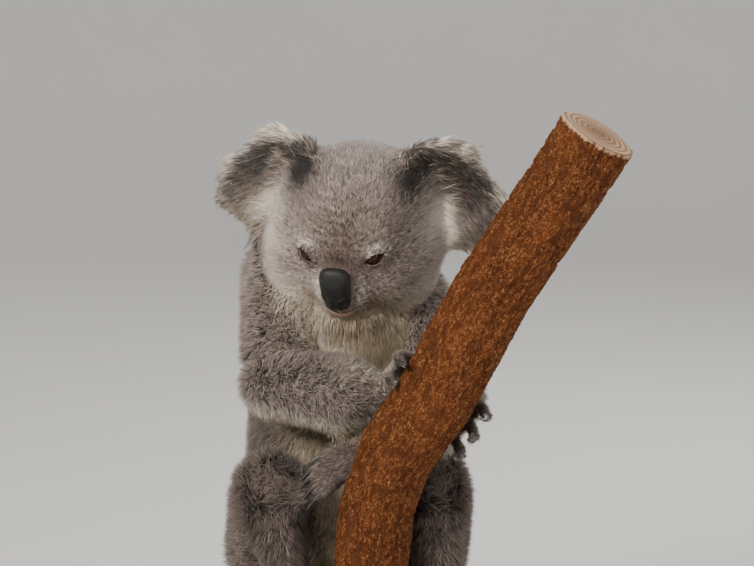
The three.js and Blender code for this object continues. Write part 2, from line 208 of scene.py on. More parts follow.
def turnedShape(outline, steps, weld=1e-6):
    # a round solid: the outline of (radius, height) points turned about the upright axis
    shape = bmesh.new()
    verts = [shape.verts.new((radius, 0, height)) for radius, height in outline]
    edges = [shape.edges.new(pair) for pair in zip(verts, verts[1:])]
    bmesh.ops.spin(
        shape, geom=verts + edges, cent=(0, 0, 0), axis=(0, 0, 1), angle=2 * math.pi, steps=steps,
        use_merge=True,
    )
    bmesh.ops.remove_doubles(shape, verts=shape.verts[:], dist=weld)
    return shape


def startMaterial(name, **settings):
    material = bpy.data.materials.new(name)
    material.use_nodes = True
    tree = material.node_tree
    shader = tree.nodes["Principled BSDF"]
    for socket, value in settings.items():
        shader.inputs[socket.replace("_", " ")].default_value = value
    return material, tree, shader


def addNode(tree, kind, **settings):
    node = tree.nodes.new(kind)
    for name, value in settings.items():
        if name in node.inputs:
            node.inputs[name].default_value = value
        else:
            setattr(node, name, value)
    return node


def feed(tree, socket, value):
    # a link, a colour or a number into one socket
    if isinstance(value, bpy.types.NodeSocket):
        tree.links.new(value, socket)
    else:
        socket.default_value = (*value, 1) if isinstance(value, tuple) else value


def addMix(tree, share, first, second):
    node = addNode(tree, "ShaderNodeMix", data_type="RGBA")
    for socket, value in ((0, share), (6, first), (7, second)):
        feed(tree, node.inputs[socket], value)
    return node.outputs[2]


def addMath(tree, operation, *values):
    node = addNode(tree, "ShaderNodeMath", operation=operation)
    for socket, value in enumerate(values):
        feed(tree, node.inputs[socket], value)
    return node.outputs[0]


def addRange(tree, value, low, high, toLow=0, toHigh=1):
    node = addNode(tree, "ShaderNodeMapRange")
    for socket, number in enumerate((value, low, high, toLow, toHigh)):
        feed(tree, node.inputs[socket], number)
    return node.outputs["Result"]


def addTones(tree, value, low, high, first, second, most=1):
    # from the first colour towards the second as the value goes from low to high
    return addMix(tree, addRange(tree, value, low, high, 0, most), first, second)


def addNoise(tree, vector, scale, detail=4, roughness=0.55, stretch=None):
    if stretch:
        mapping = addNode(tree, "ShaderNodeMapping")
        mapping.inputs["Scale"].default_value = stretch
        tree.links.new(vector, mapping.inputs["Vector"])
        vector = mapping.outputs["Vector"]
    node = addNode(tree, "ShaderNodeTexNoise", Scale=scale, Detail=detail, Roughness=roughness)
    tree.links.new(vector, node.inputs["Vector"])
    return node.outputs["Fac"]


def addBump(tree, shader, height, distance, strength):
    node = addNode(tree, "ShaderNodeBump", Strength=strength, Distance=distance)
    tree.links.new(height, node.inputs["Height"])
    tree.links.new(node.outputs["Normal"], shader.inputs["Normal"])


def objectPlace(tree):
    return addNode(tree, "ShaderNodeTexCoord").outputs["Object"]


def attribute(tree, name, kind="Fac"):
    return addNode(tree, "ShaderNodeAttribute", attribute_name=name).outputs[kind]


def paint(tree, shader, colour, value=None, low=0.3, high=0.7, rough=(0, 1)):
    # the colour, and the roughness that goes with a value's range
    tree.links.new(colour, shader.inputs["Base Color"])
    if value is not None:
        tree.links.new(addRange(tree, value, low, high, *rough), shader.inputs["Roughness"])


# Coat colours, laid over one another in this order where each marking's mask says so.
coatColours = {
    "ground": (0.242, 0.192, 0.167),
    "silver": (0.41, 0.34, 0.304),
    "brown": (0.155, 0.108, 0.086),
    "charcoal": (0.036, 0.031, 0.028),
    "cream": (0.43, 0.34, 0.23),
    "white": (0.65, 0.58, 0.50),
    # a brown stain at the mouth corners, also used for painted shade on the throat
    "stain": (0.17, 0.095, 0.035),
    "pink": (0.30, 0.15, 0.125),
}
markings = list(coatColours)[1:]


def makeCoatTint():
    group = bpy.data.node_groups.new("coatTint", "ShaderNodeTree")
    for name in ("Shade", "Along"):
        socket = group.interface.new_socket(name, in_out="INPUT", socket_type="NodeSocketFloat")
        socket.default_value = 0.5
    group.interface.new_socket("Color", in_out="OUTPUT", socket_type="NodeSocketColor")
    entry = group.nodes.new("NodeGroupInput")
    leave = group.nodes.new("NodeGroupOutput")
    colour = coatColours["ground"]
    for name in markings:
        colour = addMix(group, attribute(group, name), colour, coatColours[name])
    # each lock is dark at its root and paler or darker than its neighbours
    share = addRange(group, entry.outputs["Along"], 0, 0.75)
    pale = addMath(group, "MAXIMUM", attribute(group, "white"), attribute(group, "cream"))
    low = addMath(group, "MULTIPLY_ADD", pale, 0.3, 0.42)
    dark = addMath(group, "MULTIPLY", low, addMath(group, "SUBTRACT", 1.0, share))
    root = addMath(group, "ADD", dark, addMath(group, "MULTIPLY", share, 1.06))
    own = addRange(group, entry.outputs["Shade"], 0, 1, 0.32, 1.78)
    scaled = addNode(group, "ShaderNodeVectorMath", operation="SCALE")
    group.links.new(colour, scaled.inputs[0])
    group.links.new(addMath(group, "MULTIPLY", root, own), scaled.inputs["Scale"])
    group.links.new(scaled.outputs[0], leave.inputs["Color"])
    return group


coatTint = makeCoatTint()


def makeCoatMaterial():
    material, tree, shader = startMaterial(
        "coatHair", Roughness=0.72, Sheen_Weight=0.12, Specular_IOR_Level=0.25
    )
    tint = addNode(tree, "ShaderNodeGroup", node_tree=coatTint)
    tree.links.new(attribute(tree, "shade"), tint.inputs["Shade"])
    tree.links.new(attribute(tree, "along"), tint.inputs["Along"])
    paint(tree, shader, tint.outputs["Color"])
    return material


def makeSkinMaterial():
    material, tree, shader = startMaterial("underCoat", Roughness=0.9, Specular_IOR_Level=0.2)
    fine = addNoise(tree, objectPlace(tree), 900, 3)
    tint = addNode(tree, "ShaderNodeGroup", node_tree=coatTint, Along=0.22)
    tree.links.new(addRange(tree, fine, 0.3, 0.7, 0.1, 0.9), tint.inputs["Shade"])
    paint(tree, shader, tint.outputs["Color"])
    addBump(tree, shader, fine, 0.001, 0.6)
    return material


def makeBareSkinMaterial():
    # lids and lip: thin skin, finely creased, moister where it is pinker
    material, tree, shader = startMaterial("bareSkin", Specular_IOR_Level=0.45)
    here = objectPlace(tree)
    blotches = addNoise(tree, here, 260, 3)
    moist = attribute(tree, "moist")
    dry = addTones(tree, blotches, 0.35, 0.65, (0.115, 0.085, 0.07), (0.20, 0.155, 0.13))
    wet = addTones(tree, blotches, 0.35, 0.65, (0.24, 0.105, 0.07), (0.43, 0.205, 0.13))
    colour = addMix(tree, moist, dry, wet)
    colour = addMix(tree, attribute(tree, "soot"), colour, (0.018, 0.014, 0.013))
    paint(tree, shader, colour, moist, 0, 1, (0.62, 0.28))
    addBump(tree, shader, addNoise(tree, here, 1500, 5, 0.6), 0.0004, 0.5)
    return material


def makeNoseMaterial():
    material, tree, shader = startMaterial("noseLeather", Specular_IOR_Level=0.34)
    here = objectPlace(tree)
    pebbles = addNode(tree, "ShaderNodeTexVoronoi", Scale=1150.0, feature="F1")
    tree.links.new(here, pebbles.inputs["Vector"])
    apart = pebbles.outputs["Distance"]
    soft = addNoise(tree, here, 170, 4)
    colour = addTones(tree, soft, 0.3, 0.7, (0.006, 0.0065, 0.0062), (0.018, 0.0192, 0.0182))
    colour = addTones(tree, apart, 0.35, 0.75, colour, (0.008, 0.008, 0.008), 0.5)
    paint(tree, shader, colour, soft, rough=(0.46, 0.6))
    height = addMath(tree, "MULTIPLY", addMath(tree, "SUBTRACT", 1.0, apart), 0.6)
    addBump(tree, shader, addMath(tree, "ADD", height, soft), 0.00025, 0.5)
    return material


def makeEyeMaterial():
    material, tree, shader = startMaterial(
        "eyeGloss", Roughness=0.16, Coat_Weight=0.16, Coat_Roughness=0.05, Specular_IOR_Level=0.15
    )
    where = attribute(tree, "eyePlace", "Vector")  # across and up on the ball, and away from the gaze
    split = addNode(tree, "ShaderNodeSeparateXYZ")
    tree.links.new(where, split.inputs[0])
    across, upward, away = split.outputs
    fibres = addNoise(tree, attribute(tree, "eyeSpokes", "Vector"), 9, 6, 0.65)
    colour = addTones(tree, fibres, 0.3, 0.7, (0.009, 0.0032, 0.0022), (0.034, 0.0100, 0.006))
    colour = addMix(tree, addRange(tree, away, 0.12, 0.42, 0.55, 0), colour, (0.036, 0.0135, 0.0075))
    colour = addTones(tree, away, 0.62, 0.8, colour, (0.012, 0.006, 0.005))
    colour = addTones(tree, away, 0.84, 0.9, colour, (0.06, 0.038, 0.036))
    # the upright slit of the pupil
    narrowing = addMath(tree, "MULTIPLY", addMath(tree, "ABSOLUTE", upward), 0.22)
    half = addMath(tree, "SUBTRACT", 0.13, narrowing)
    slit = addMath(tree, "SUBTRACT", half, addMath(tree, "ABSOLUTE", across))
    colour = addTones(tree, slit, -0.02, 0.02, colour, (0.002, 0.002, 0.002))
    paint(tree, shader, colour)
    return material


def makeClawMaterial():
    material, tree, shader = startMaterial("clawHorn", Coat_Weight=0.2)
    streaks = addNoise(tree, objectPlace(tree), 420, 4)
    colour = addTones(tree, streaks, 0.3, 0.7, (0.018, 0.015, 0.014), (0.05, 0.041, 0.035))
    colour = addTones(tree, attribute(tree, "tip"), 0.75, 1, colour, (0.13, 0.10, 0.08), 0.5)
    paint(tree, shader, colour, streaks, rough=(0.25, 0.42))
    addBump(tree, shader, streaks, 0.0003, 0.4)
    return material


def makeBarkMaterial():
    material, tree, shader = startMaterial("flakyBark", Specular_IOR_Level=0.08)
    grain = attribute(tree, "limbPlace", "Vector")  # round and along the limb, in metres
    flakes = addNoise(tree, grain, 420, 6, 0.7, stretch=(1.0, 1.0, 0.55))
    fine = addNoise(tree, grain, 1250, 4, 0.7, stretch=(1.0, 1.0, 0.6))
    broad = addNoise(tree, grain, 60, 5, 0.65, stretch=(1.0, 1.0, 0.3))
    under = addTones(tree, broad, 0.35, 0.65, (0.052, 0.0118, 0.0032), (0.112, 0.030, 0.0082))
    colour = addTones(tree, flakes, 0.44, 0.66, under, (0.185, 0.062, 0.0185), 0.7)
    specks = addRange(tree, fine, 0.52, 0.64)
    specks = addMath(tree, "MULTIPLY", specks, addRange(tree, flakes, 0.4, 0.62, 0.12, 1))
    colour = addMix(tree, specks, colour, (0.47, 0.235, 0.10))
    colour = addTones(tree, fine, 0.42, 0.30, colour, (0.04, 0.012, 0.005), 0.7)
    colour = addTones(tree, attribute(tree, "relief"), 0.3, 0.0, colour, (0.06, 0.02, 0.008), 0.6)
    # sawn ends: rings round a reddish heart
    cutPlace = attribute(tree, "cutPlace", "Vector")
    rings = addNode(
        tree, "ShaderNodeTexWave", wave_type="RINGS", rings_direction="SPHERICAL",
        Scale=62.0, Distortion=2.0, Detail=3.0,
    )
    tree.links.new(cutPlace, rings.inputs["Vector"])
    wood = addMix(tree, rings.outputs["Fac"], (0.30, 0.16, 0.085), (0.60, 0.42, 0.27))
    fromHeart = addNode(tree, "ShaderNodeVectorMath", operation="LENGTH")
    tree.links.new(cutPlace, fromHeart.inputs[0])
    heart = addRange(tree, fromHeart.outputs["Value"], 0.006, 0.026, 0.55, 0)
    wood = addMix(tree, heart, wood, (0.20, 0.075, 0.035))
    colour = addMix(tree, attribute(tree, "cutEnd"), colour, wood)
    paint(tree, shader, colour, flakes, rough=(0.88, 0.62))
    rough = addMath(tree, "MULTIPLY", flakes, 0.8)
    addBump(tree, shader, addMath(tree, "ADD", rough, addMath(tree, "MULTIPLY", fine, 0.5)), 0.0016, 0.9)
    return material


def makeBoardMaterial():
    material, tree, shader = startMaterial("darkBoard", Coat_Weight=0.25, Coat_Roughness=0.25)
    here = objectPlace(tree)
    grain = addNoise(tree, here, 26, 6, 0.6, stretch=(1.0, 14.0, 6.0))
    pores = addNoise(tree, here, 160, 3, 0.6, stretch=(1.0, 18.0, 8.0))
    colour = addTones(tree, grain, 0.3, 0.7, (0.016, 0.0125, 0.011), (0.042, 0.032, 0.026))
    colour = addTones(tree, pores, 0.56, 0.66, colour, (0.008, 0.006, 0.005), 0.6)
    paint(tree, shader, colour, grain, rough=(0.36, 0.5))
    addBump(tree, shader, pores, 0.0004, 0.35)
    return material


def makeSteelMaterial():
    material, tree, shader = startMaterial("brushedRod", Metallic=1.0)
    brushed = addNoise(tree, objectPlace(tree), 300, 4, 0.6, stretch=(1.0, 1.0, 0.03))
    colour = addTones(tree, brushed, 0.3, 0.7, (0.50, 0.50, 0.51), (0.66, 0.66, 0.67))
    paint(tree, shader, colour, brushed, rough=(0.24, 0.38))
    addBump(tree, shader, brushed, 0.0002, 0.3)
    return material


# The upright limb and the lower one it sits on: points along each, in the animal's millimetres.
perch = {
    "upright": [
        (14, -80, 44), (18, -92, 140), (22, -106, 215), (31, -114, 280),
        (74, -121, 347), (114, -134, 430), (166, -150, 510), (200, -164, 568),
    ],
    "seat": [(22, -86, 84), (8, -20, 80), (-4, 50, 85), (-20, 155, 106)],
    "steps": {"upright": 400, "seat": 200},
    "stepLength": {"upright": 1.37, "seat": 1.27},
    "radius": 31.0,
    "voxel": 0.0023,
    "flakeDepth": 0.0011,
    "smoothing": 14,
}
uprightLine = smoothCurve(perch["upright"], perch["steps"]["upright"])
seatLine = smoothCurve(perch["seat"], perch["steps"]["seat"])


def besideLimb(height, angle, out):
    # a point beside the upright limb, at an angle from its front towards the animal's left
    index = int(np.argmax(uprightLine[:, 2] >= height))
    along = unit(uprightLine[min(index + 1, len(uprightLine) - 1)] - uprightLine[index - 1])
    front = np.array([0.0, -1.0, 0.0])
    front = unit(front - along * (front @ along))
    side = np.cross(along, front)
    turn = math.radians(angle)
    return uprightLine[index] + out * (front * math.cos(turn) + side * math.sin(turn))


def copyOfNodes(names, swell=0.0):
    # one shape from copies of CAD nodes, each vertex moved out by `swell` metres
    shape = bmesh.new()
    for name in names:
        shape.from_mesh(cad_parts[name].data)
    bmesh.ops.remove_doubles(shape, verts=shape.verts[:], dist=2e-6)
    shape.normal_update()
    for vertex in shape.verts:
        vertex.co += vertex.normal * swell
    return shape


def remeshed(shape, name, voxel):
    mesh = bpy.data.meshes.new(name)
    shape.to_mesh(mesh)
    shape.free()
    holder = putInScene(name, mesh)
    modifier = holder.modifiers.new("even", "REMESH")
    modifier.mode = "VOXEL"
    modifier.voxel_size = voxel
    graph = bpy.context.evaluated_depsgraph_get()
    made = bpy.data.meshes.new_from_object(holder.evaluated_get(graph))
    bpy.data.objects.remove(holder)
    made.name = name
    return made


def edgesOf(mesh):
    return readWholes(mesh.edges, "vertices", 2).reshape(-1, 2)


def relaxed(values, pairs, passes):
    # each value drawn towards the mean of its neighbours, as often as `passes` says for each vertex
    values = np.array(values, float)
    flat = values.ndim == 1
    if flat:
        values = values[:, None]
    passes = np.broadcast_to(passes, (len(values),))
    total = len(values)
    first = np.concatenate([pairs[:, 0], pairs[:, 1]])
    second = np.concatenate([pairs[:, 1], pairs[:, 0]])
    count = np.maximum(np.bincount(first, minlength=total), 1)[:, None]
    for step in range(int(passes.max())):
        sums = [np.bincount(first, column[second], minlength=total) for column in values.T]
        mean = np.stack(sums, 1) / count
        values += (mean - values) * (0.5 * (passes > step))[:, None]
    return values[:, 0] if flat else values


def setPlaces(mesh, places):
    mesh.vertices.foreach_set("co", packed(places))
    mesh.update()


def vertexNormals(mesh):
    return readVectors(mesh.vertex_normals, "vector")


def makePerch():
    mesh = remeshed(copyOfNodes(["perch_branch"]), "bark_limb", perch["voxel"])
    places = readVectors(mesh.vertices, "co")
    pairs = edgesOf(mesh)
    animal = toAnimal(places)
    # nearest spot on either limb's middle line
    middles = np.vstack([uprightLine, seatLine])
    nearest = np.empty(len(animal), int)
    for start in range(0, len(animal), 4000):
        part = animal[start : start + 4000]
        away = ((part[:, None, :] - middles[None]) ** 2).sum(2)
        nearest[start : start + 4000] = away.argmin(1)
    onUpright = nearest < len(uprightLine)
    step = np.where(onUpright, nearest, nearest - len(uprightLine))
    heading = np.vstack([unit(np.gradient(line, axis=0)) for line in (uprightLine, seatLine)])[nearest]
    offset = animal - middles[nearest]
    beyond = (offset * heading).sum(1)
    atFoot = onUpright & (step <= 1)
    atEnd = step >= np.where(onUpright, len(uprightLine), len(seatLine)) - 2
    cut = (atEnd & (beyond > -0.6)) | (atFoot & (beyond < 0.6))
    edge = relaxed(cut, pairs, 1)
    places = relaxed(places, pairs, np.where(edge > 0.02, 0, perch["smoothing"]))
    setPlaces(mesh, places)
    normals = vertexNormals(mesh)
    animal = toAnimal(places)
    radial = inSurface(animal - middles[nearest], heading)
    along = step * np.where(onUpright, *perch["stepLength"].values())
    # flakes: thin plates that stand off the limb along ragged edges, longer than they are wide
    ahead = np.array([0.0, -1.0, 0.05])
    front = unit(ahead - heading * (heading @ ahead)[:, None])
    side = np.cross(heading, front)
    angle = np.arctan2((radial * side).sum(1), (radial * front).sum(1))
    ring = perch["radius"] * np.stack([np.cos(angle), np.sin(angle)], 1)
    grain = np.column_stack([ring, along + 700 * ~onUpright])
    stretched = grain * (1.0, 1.0, 0.45)
    plates = ripples(stretched, 9, 3) + 0.7 * ripples(stretched, 5, 4) + 0.5 * ripples(stretched, 3.2, 5)
    relief = ramp(plates, -0.55, 0.6)
    bumps = (relief - 0.75) * perch["flakeDepth"] * 1.6 + 0.00025 * ripples(grain, 3.0, 6)
    places = places + normals * (bumps * (1 - edge))[:, None]
    setPlaces(mesh, places)
    storeNumbers(mesh, "relief", relief * (1 - cut) + cut)
    storeNumbers(mesh, "cutEnd", cut.astype(float))
    storeVectors(mesh, "limbPlace", grain / 1000)
    storeVectors(mesh, "cutPlace", radial / 1000)
    mesh.shade_smooth()
    print("perch", len(mesh.polygons), "faces")
    addObject("bark_limb", mesh, makeBarkMaterial(), ["perch_branch"])


stand = {
    "radius": 0.18,
    "thickness": 0.022,
    "bevel": 0.003,
    "lip": 0.0008,
    "groove": [0.012, 0.0125, 0.0145, 0.015],
    "rod": 0.008,
    "collar": 0.0135,
    "feet": [(18, -80), (-12, 105)],
}


def addTurned(name, outline, steps, material, node, shift=(0, 0, 0)):
    shape = turnedShape(outline, steps)
    bmesh.ops.translate(shape, verts=shape.verts[:], vec=shift)
    mesh = meshFrom(shape, name)
    mesh.set_sharp_from_angle(angle=math.radians(40))
    addObject(name, mesh, material, [node])


def makeStand():
    radius, top, soft, lip = (stand[key] for key in ("radius", "thickness", "bevel", "lip"))
    outline = [(0, 0), (radius - lip, 0), (radius, lip), (radius, top - soft)]
    outline += [
        (radius - soft + soft * math.cos(a), top - soft + soft * math.sin(a))
        for a in np.radians([22.5, 45, 67.5])
    ]
    # a fine groove runs round inside the bevel
    depths = (0, lip, lip, 0)
    outline += [(radius - soft, top)]
    outline += [(radius - back, top - depth) for back, depth in zip(stand["groove"], depths)]
    outline += [(0, top)]
    addTurned("stand_board", outline, 160, makeBoardMaterial(), "stand_base")
    steel = makeSteelMaterial()
    rod, collar = stand["rod"], stand["collar"]
    for number, foot in enumerate(stand["feet"], 1):
        node = f"stand_rod_{number}"
        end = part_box(node)[1].z + 0.004  # into the bark's flakes
        outline = [(0, top), (collar, top), (collar, top + 0.004), (collar - 0.001, top + 0.005)]
        outline += [(rod + 0.0004, top + 0.0056), (rod, top + 0.0062), (rod, end), (0, end)]
        at = (*(np.array(foot) + lift[:2]) / 1000, 0)
        addTurned(f"stand_pillar_{number}", outline, 56, steel, node, at)
    print("stand made")


# For each kind of flesh: how deep the coat lies on it, in mm, and how many passes smooth its facets.
fleshKinds = {
    "head": (4.8, 22),
    "lower_jaw": (5.0, 24),
    "ear": (2.0, 5),
    "neck": (13.0, 80),
    "trunk": (14.0, 110),
    "upper_arm": (11.0, 80),
    "forearm": (8.5, 55),
    "hand": (3.0, 4),
    "thigh": (13.0, 60),
    "shank": (8.0, 30),
    "foot": (3.0, 4),
}
skinVoxel = 0.0026
earForm = {
    "length": 59,
    "breadth": 42,
    "at": (83, 14, 32),
    "turn": 20,
    "lean": -10,
    "droop": {-1: 34, 1: 48},
    "drawnIn": 11.0,
}
limbJoints = {
    "upper_arm_right": [(-54, 42, 424), (-58, -54, 346)],
    "upper_arm_left": [(56, 38, 402), (88, -24, 330)],
    "forearm_right": [(-58, -54, 346), (-8, -70, 341), (36, -72, 337)],
    "forearm_left": [(88, -24, 330), (60, -48, 307), (24, -66, 288)],
    "thigh_right": [(-60, 24, 182), (-64, -68, 262)],
    "thigh_left": [(62, 30, 180), (75, -53, 259)],
    "shank_right": [(-64, -68, 262), (-42, -84, 156)],
    "shank_left": [(75, -53, 259), (80, -78, 148)],
    "hand_right": [(-8, -70, 341), (36, -72, 337)],
    "hand_left": [(60, -48, 307), (24, -66, 288)],
    "foot_right": [(-60, -74, 230), (-42, -84, 156)],
    "foot_left": [(76, -60, 220), (80, -78, 148)],
}
sides = {"right": -1, "left": 1}


def kindOf(node):
    return node.removesuffix("_right").removesuffix("_left")


def kindsOf(nodes):
    return np.array([kindOf(node) for node in nodes])


def bone(name):
    # where a limb's part starts and ends
    joints = np.array(limbJoints[name], float)
    return joints[0], joints[-1]


fleshNodes = [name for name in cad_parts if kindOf(name) in fleshKinds]


def earFrame(side):
    turning = (
        Matrix.Rotation(math.radians(earForm["turn"] * side), 4, "Z")
        @ Matrix.Rotation(math.radians(earForm["lean"]), 4, "X")
        @ Matrix.Rotation(math.radians(earForm["droop"][side] * side), 4, "Y")
    )
    x, y, z = earForm["at"]
    return np.array(turning.to_3x3()), np.array([x * side, y, z], float)


def toEar(headPoints, side):
    axes, centre = earFrame(side)
    return (headPoints - centre) @ axes


def fromEar(earPoints, side):
    axes, centre = earFrame(side)
    return earPoints @ axes.T + centre


# Each eye: a ball set in the head's frame, and the almond opening of its lids measured on the ball.
eye = {
    "radius": 11.0,
    "centre": {-1: (-27.4, -44.6, -3.4), 1: (25.8, -44.4, -1.2)},
    "outward": (0.35, -0.93, 0.06),
    "slant": {-1: 36, 1: 26},
    "gaze": 15,
    "cornea": 0.6,
    "halfWidth": {-1: 7.0, 1: 8.0},
    "upper": {-1: 3.1, 1: 4.2},
    "lower": {-1: 2.9, 1: 3.9},
    "inset": 0.3,
    "behind": -6,
    "sharp": {"inner": 1.55, "outer": 1.2},
}


def eyeFrame(side, slanted=True):
    # centre, and the axes across (to the outer corner), up and outward, in the head's frame
    outward = unit(np.array(eye["outward"]) * (side, 1, 1))
    across = np.array([side, 0.0, 0.0])
    across = unit(across - outward * (outward @ across))
    up = side * np.cross(outward, across)
    if slanted:
        turn = math.radians(eye["slant"][side])
        across, up = (
            across * math.cos(turn) + up * math.sin(turn),
            up * math.cos(turn) - across * math.sin(turn),
        )
    return np.array(eye["centre"][side]), np.stack([across, up, outward], 1)


def almondRise(share):
    # the opening's height from its inner (-1) to its outer corner (1), sharper at the inner one
    sharp = np.where(share < 0, eye["sharp"]["inner"], eye["sharp"]["outer"])
    return np.sqrt(np.clip(1 - share * share, 0, 1)) ** sharp


def almond(count, side):
    turns = np.linspace(0, 2 * math.pi, count, endpoint=False)
    high = np.where(np.sin(turns) > 0, eye["upper"][side], -eye["lower"][side])
    along = np.cos(turns)
    return np.stack([along * eye["halfWidth"][side] - eye["inset"], high * almondRise(along)], 1)


def almondGap(spots, side):
    # how far each spot lies outside the almond, negative inside
    away = distanceTo(almond(120, side), spots)
    share = (spots[:, 0] + eye["inset"]) / eye["halfWidth"][side]
    high = np.where(spots[:, 1] > 0, eye["upper"][side], eye["lower"][side])
    inside = np.abs(spots[:, 1]) < high * almondRise(np.clip(share, -1, 1))
    return np.where(inside & (np.abs(share) < 1), -away, away)


def corneaRise(reach):
    # how far the clear front of the eye stands over the ball, against its distance from the gaze
    return eye["cornea"] * np.clip(1 - (reach / 0.72) ** 2, 0, 1) ** 1.5


def toEye(headPoints, side):
    # places in an eye's own frame, and how far outside its opening each is
    centre, axes = eyeFrame(side)
    spot = (headPoints - centre) @ axes
    return spot, almondGap(spot[:, :2], side)


def ballHeight(spots, side):
    # height of the eyeball over its own middle plane, carried on downhill past its edge
    flat = (spots**2).sum(1)
    high = np.sqrt(np.maximum(eye["radius"] ** 2 - flat, 9.0))
    gaze = math.radians(eye["gaze"])
    onward = eyeFrame(side, slanted=False)[1] @ np.array([-math.sin(gaze), 0, math.cos(gaze)])
    away = unit(np.concatenate([spots, high[:, None]], 1)) @ (eyeFrame(side)[1].T @ onward)
    rise = corneaRise(np.sqrt(np.maximum(1 - away**2, 0)))
    return high + rise - np.maximum(np.sqrt(flat) - 10.6, 0) * 1.1


# The lids' profile: steps out from the opening, and the height of each over the ball.
lidProfile = [
    (-0.15, -0.7), (0.0, 0.1), (0.2, 0.5), (0.6, 0.75), (1.2, 0.7), (1.9, 0.35),
    (2.8, 0.45), (4.0, 0.5), (5.6, 0.1), (7.0, -1.2),
]


def lidOver(gap):
    # a lid's height over the ball, against the distance from the opening
    return np.interp(gap, *np.array(lidProfile).T)


def largestPart(total, pairs):
    label = np.arange(total)
    while True:
        lowest = label.copy()
        np.minimum.at(lowest, pairs[:, 0], label[pairs[:, 1]])
        np.minimum.at(lowest, pairs[:, 1], label[pairs[:, 0]])
        lowest = lowest[lowest]
        if (lowest == label).all():
            break
        label = lowest
    return label == np.bincount(label).argmax()


def treeOf(meshes):
    # one search tree for several meshes
    corners, faces = [], []
    for mesh in meshes:
        start = len(corners)
        corners += [vertex.co[:] for vertex in mesh.vertices]
        faces += [[start + i for i in face.vertices] for face in mesh.polygons]
    return BVHTree.FromPolygons(corners, faces)


def nearestNodes(points):
    meshes = [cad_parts[name].data for name in fleshNodes]
    owners = np.repeat(fleshNodes, [len(mesh.polygons) for mesh in meshes])
    tree = treeOf(meshes)
    return owners[[tree.find_nearest(point)[2] for point in points.tolist()]]


def coatDepth(points, nodes):
    # how deep the coat is over each vertex, in mm
    depth = np.array([fleshKinds[kindOf(name)][0] for name in nodes])
    local = toHead(points)
    onHead = np.isin(nodes, ["head", "lower_jaw"])
    fromNose = np.linalg.norm((local - (0, -62, -30)) * (1, 0.9, 0.85), axis=1)
    head = 3.4 + 3.6 * ramp(fromNose, 30, 85) + 4.5 * ramp(fromNose, 75, 125)
    for side in (-1, 1):
        head += 5.0 * hill(local, (62 * side, -14, -30), (22, 26, 24))
        head -= 1.0 * hill(local, (28 * side, -54, 0), (14, 14, 12))
    depth = np.where(onHead, head, depth)
    for name, side in sides.items():
        spot = toEar(local, side)
        rim = np.hypot(spot[:, 0] / 50, spot[:, 2] / 34)
        depth = np.where(nodes == "ear_" + name, 0.3 + 2.0 * (1 - ramp(rim, 0.3, 0.75)), depth)
        here = nodes == "forearm_" + name
        start, end = bone("forearm_" + name)
        share = ((points[here] - start) @ (end - start)) / ((end - start) @ (end - start))
        depth[here] = 10.5 - 5.5 * ramp(share, 0.35, 1.05)
    return depth


def makeSkinForm():
    filled = fleshNodes + ["nose", "eye_right", "eye_left"]
    mesh = remeshed(copyOfNodes(filled, 0.0008), "koala_skin", skinVoxel)
    shape = bmesh.new()
    shape.from_mesh(mesh)
    shape.verts.ensure_lookup_table()
    loose = np.nonzero(~largestPart(len(mesh.vertices), edgesOf(mesh)))[0]
    bmesh.ops.delete(shape, geom=[shape.verts[i] for i in loose], context="VERTS")
    shape.to_mesh(mesh)
    shape.free()
    points = toAnimal(readVectors(mesh.vertices, "co"))
    pairs = edgesOf(mesh)
    nodes = nearestNodes(toModel(points))
    passes = relaxed([fleshKinds[kindOf(name)][1] for name in nodes], pairs, 24)
    # the fold over each elbow is filled more than the rest of the arm
    passes += 160 * hill(points, (-50, -46, 374), (26, 26, 22))
    passes += 80 * hill(points, (80, -10, 350), (24, 24, 20))
    points = relaxed(points, pairs, np.round(passes).astype(int))
    # ears drawn in, so that their fringes reach the outline
    for name, side in sides.items():
        local = toEar(toHead(points), side)
        half = np.array([earForm["length"], 1, earForm["breadth"]], float)
        flat = local / half * (1, 0, 1)
        onEar = relaxed(nodes == "ear_" + name, pairs, 10)
        drawn = earForm["drawnIn"] * ramp(np.linalg.norm(flat, axis=1), 0.1, 0.9)
        drawn = drawn * onEar * ramp(side * local[:, 0], -34, -8)
        local -= unit(flat * half) * drawn[:, None]
        moved = fromHead(fromEar(local, side))
        points = np.where((onEar > 0.01)[:, None], moved, points)
    setPlaces(mesh, toModel(points))
    normals = vertexNormals(mesh)
    depth = coatDepth(points, nodes)
    local = toHead(points)
    # the crown is fuller than its solid
    fuller = 3.4 * ramp(local[:, 2], 30, 62) * (nodes == "head")
    fuller *= 1 - ramp(np.abs(local[:, 0]), 40, 58)
    isEar = np.char.startswith(nodes.astype(str), "ear")
    depth = np.where(isEar, depth, relaxed(depth, pairs, 30))
    points = points - normals * (depth - relaxed(fuller, pairs, 20))[:, None]
    fine = isEar | np.isin(kindsOf(nodes), ["hand", "foot"])
    points = relaxed(points, pairs, np.where(fine, 2, 8))
    setPlaces(mesh, toModel(points))
    return mesh, points, pairs, nodes, depth


def settleEyes(points):
    # the skin dips behind each eyeball, and stands a little over it as brow
    for side in (-1, 1):
        centre, axes = eyeFrame(side)
        local = (toHead(points) - centre) @ axes
        near = (np.linalg.norm(local, axis=1) < 26) & (local[:, 2] > eye["behind"])
        spot = local[near]
        gap = almondGap(spot[:, :2], side)
        ball = ballHeight(spot[:, :2], side)
        lid = ball + lidOver(gap) - 0.3
        spot[:, 2] += (lid - spot[:, 2]) * (1 - ramp(gap, 1.6, 4.6))
        spot[:, 2] = np.where(gap < 0.7, np.minimum(spot[:, 2], ball - 2.2), spot[:, 2])
        spot[:, 2] += 1.3 * bell(gap - 5.5, 2.6) * ramp(spot[:, 1], -2, 4)
        points[near] = fromHead(spot @ axes.T + centre)
    return points


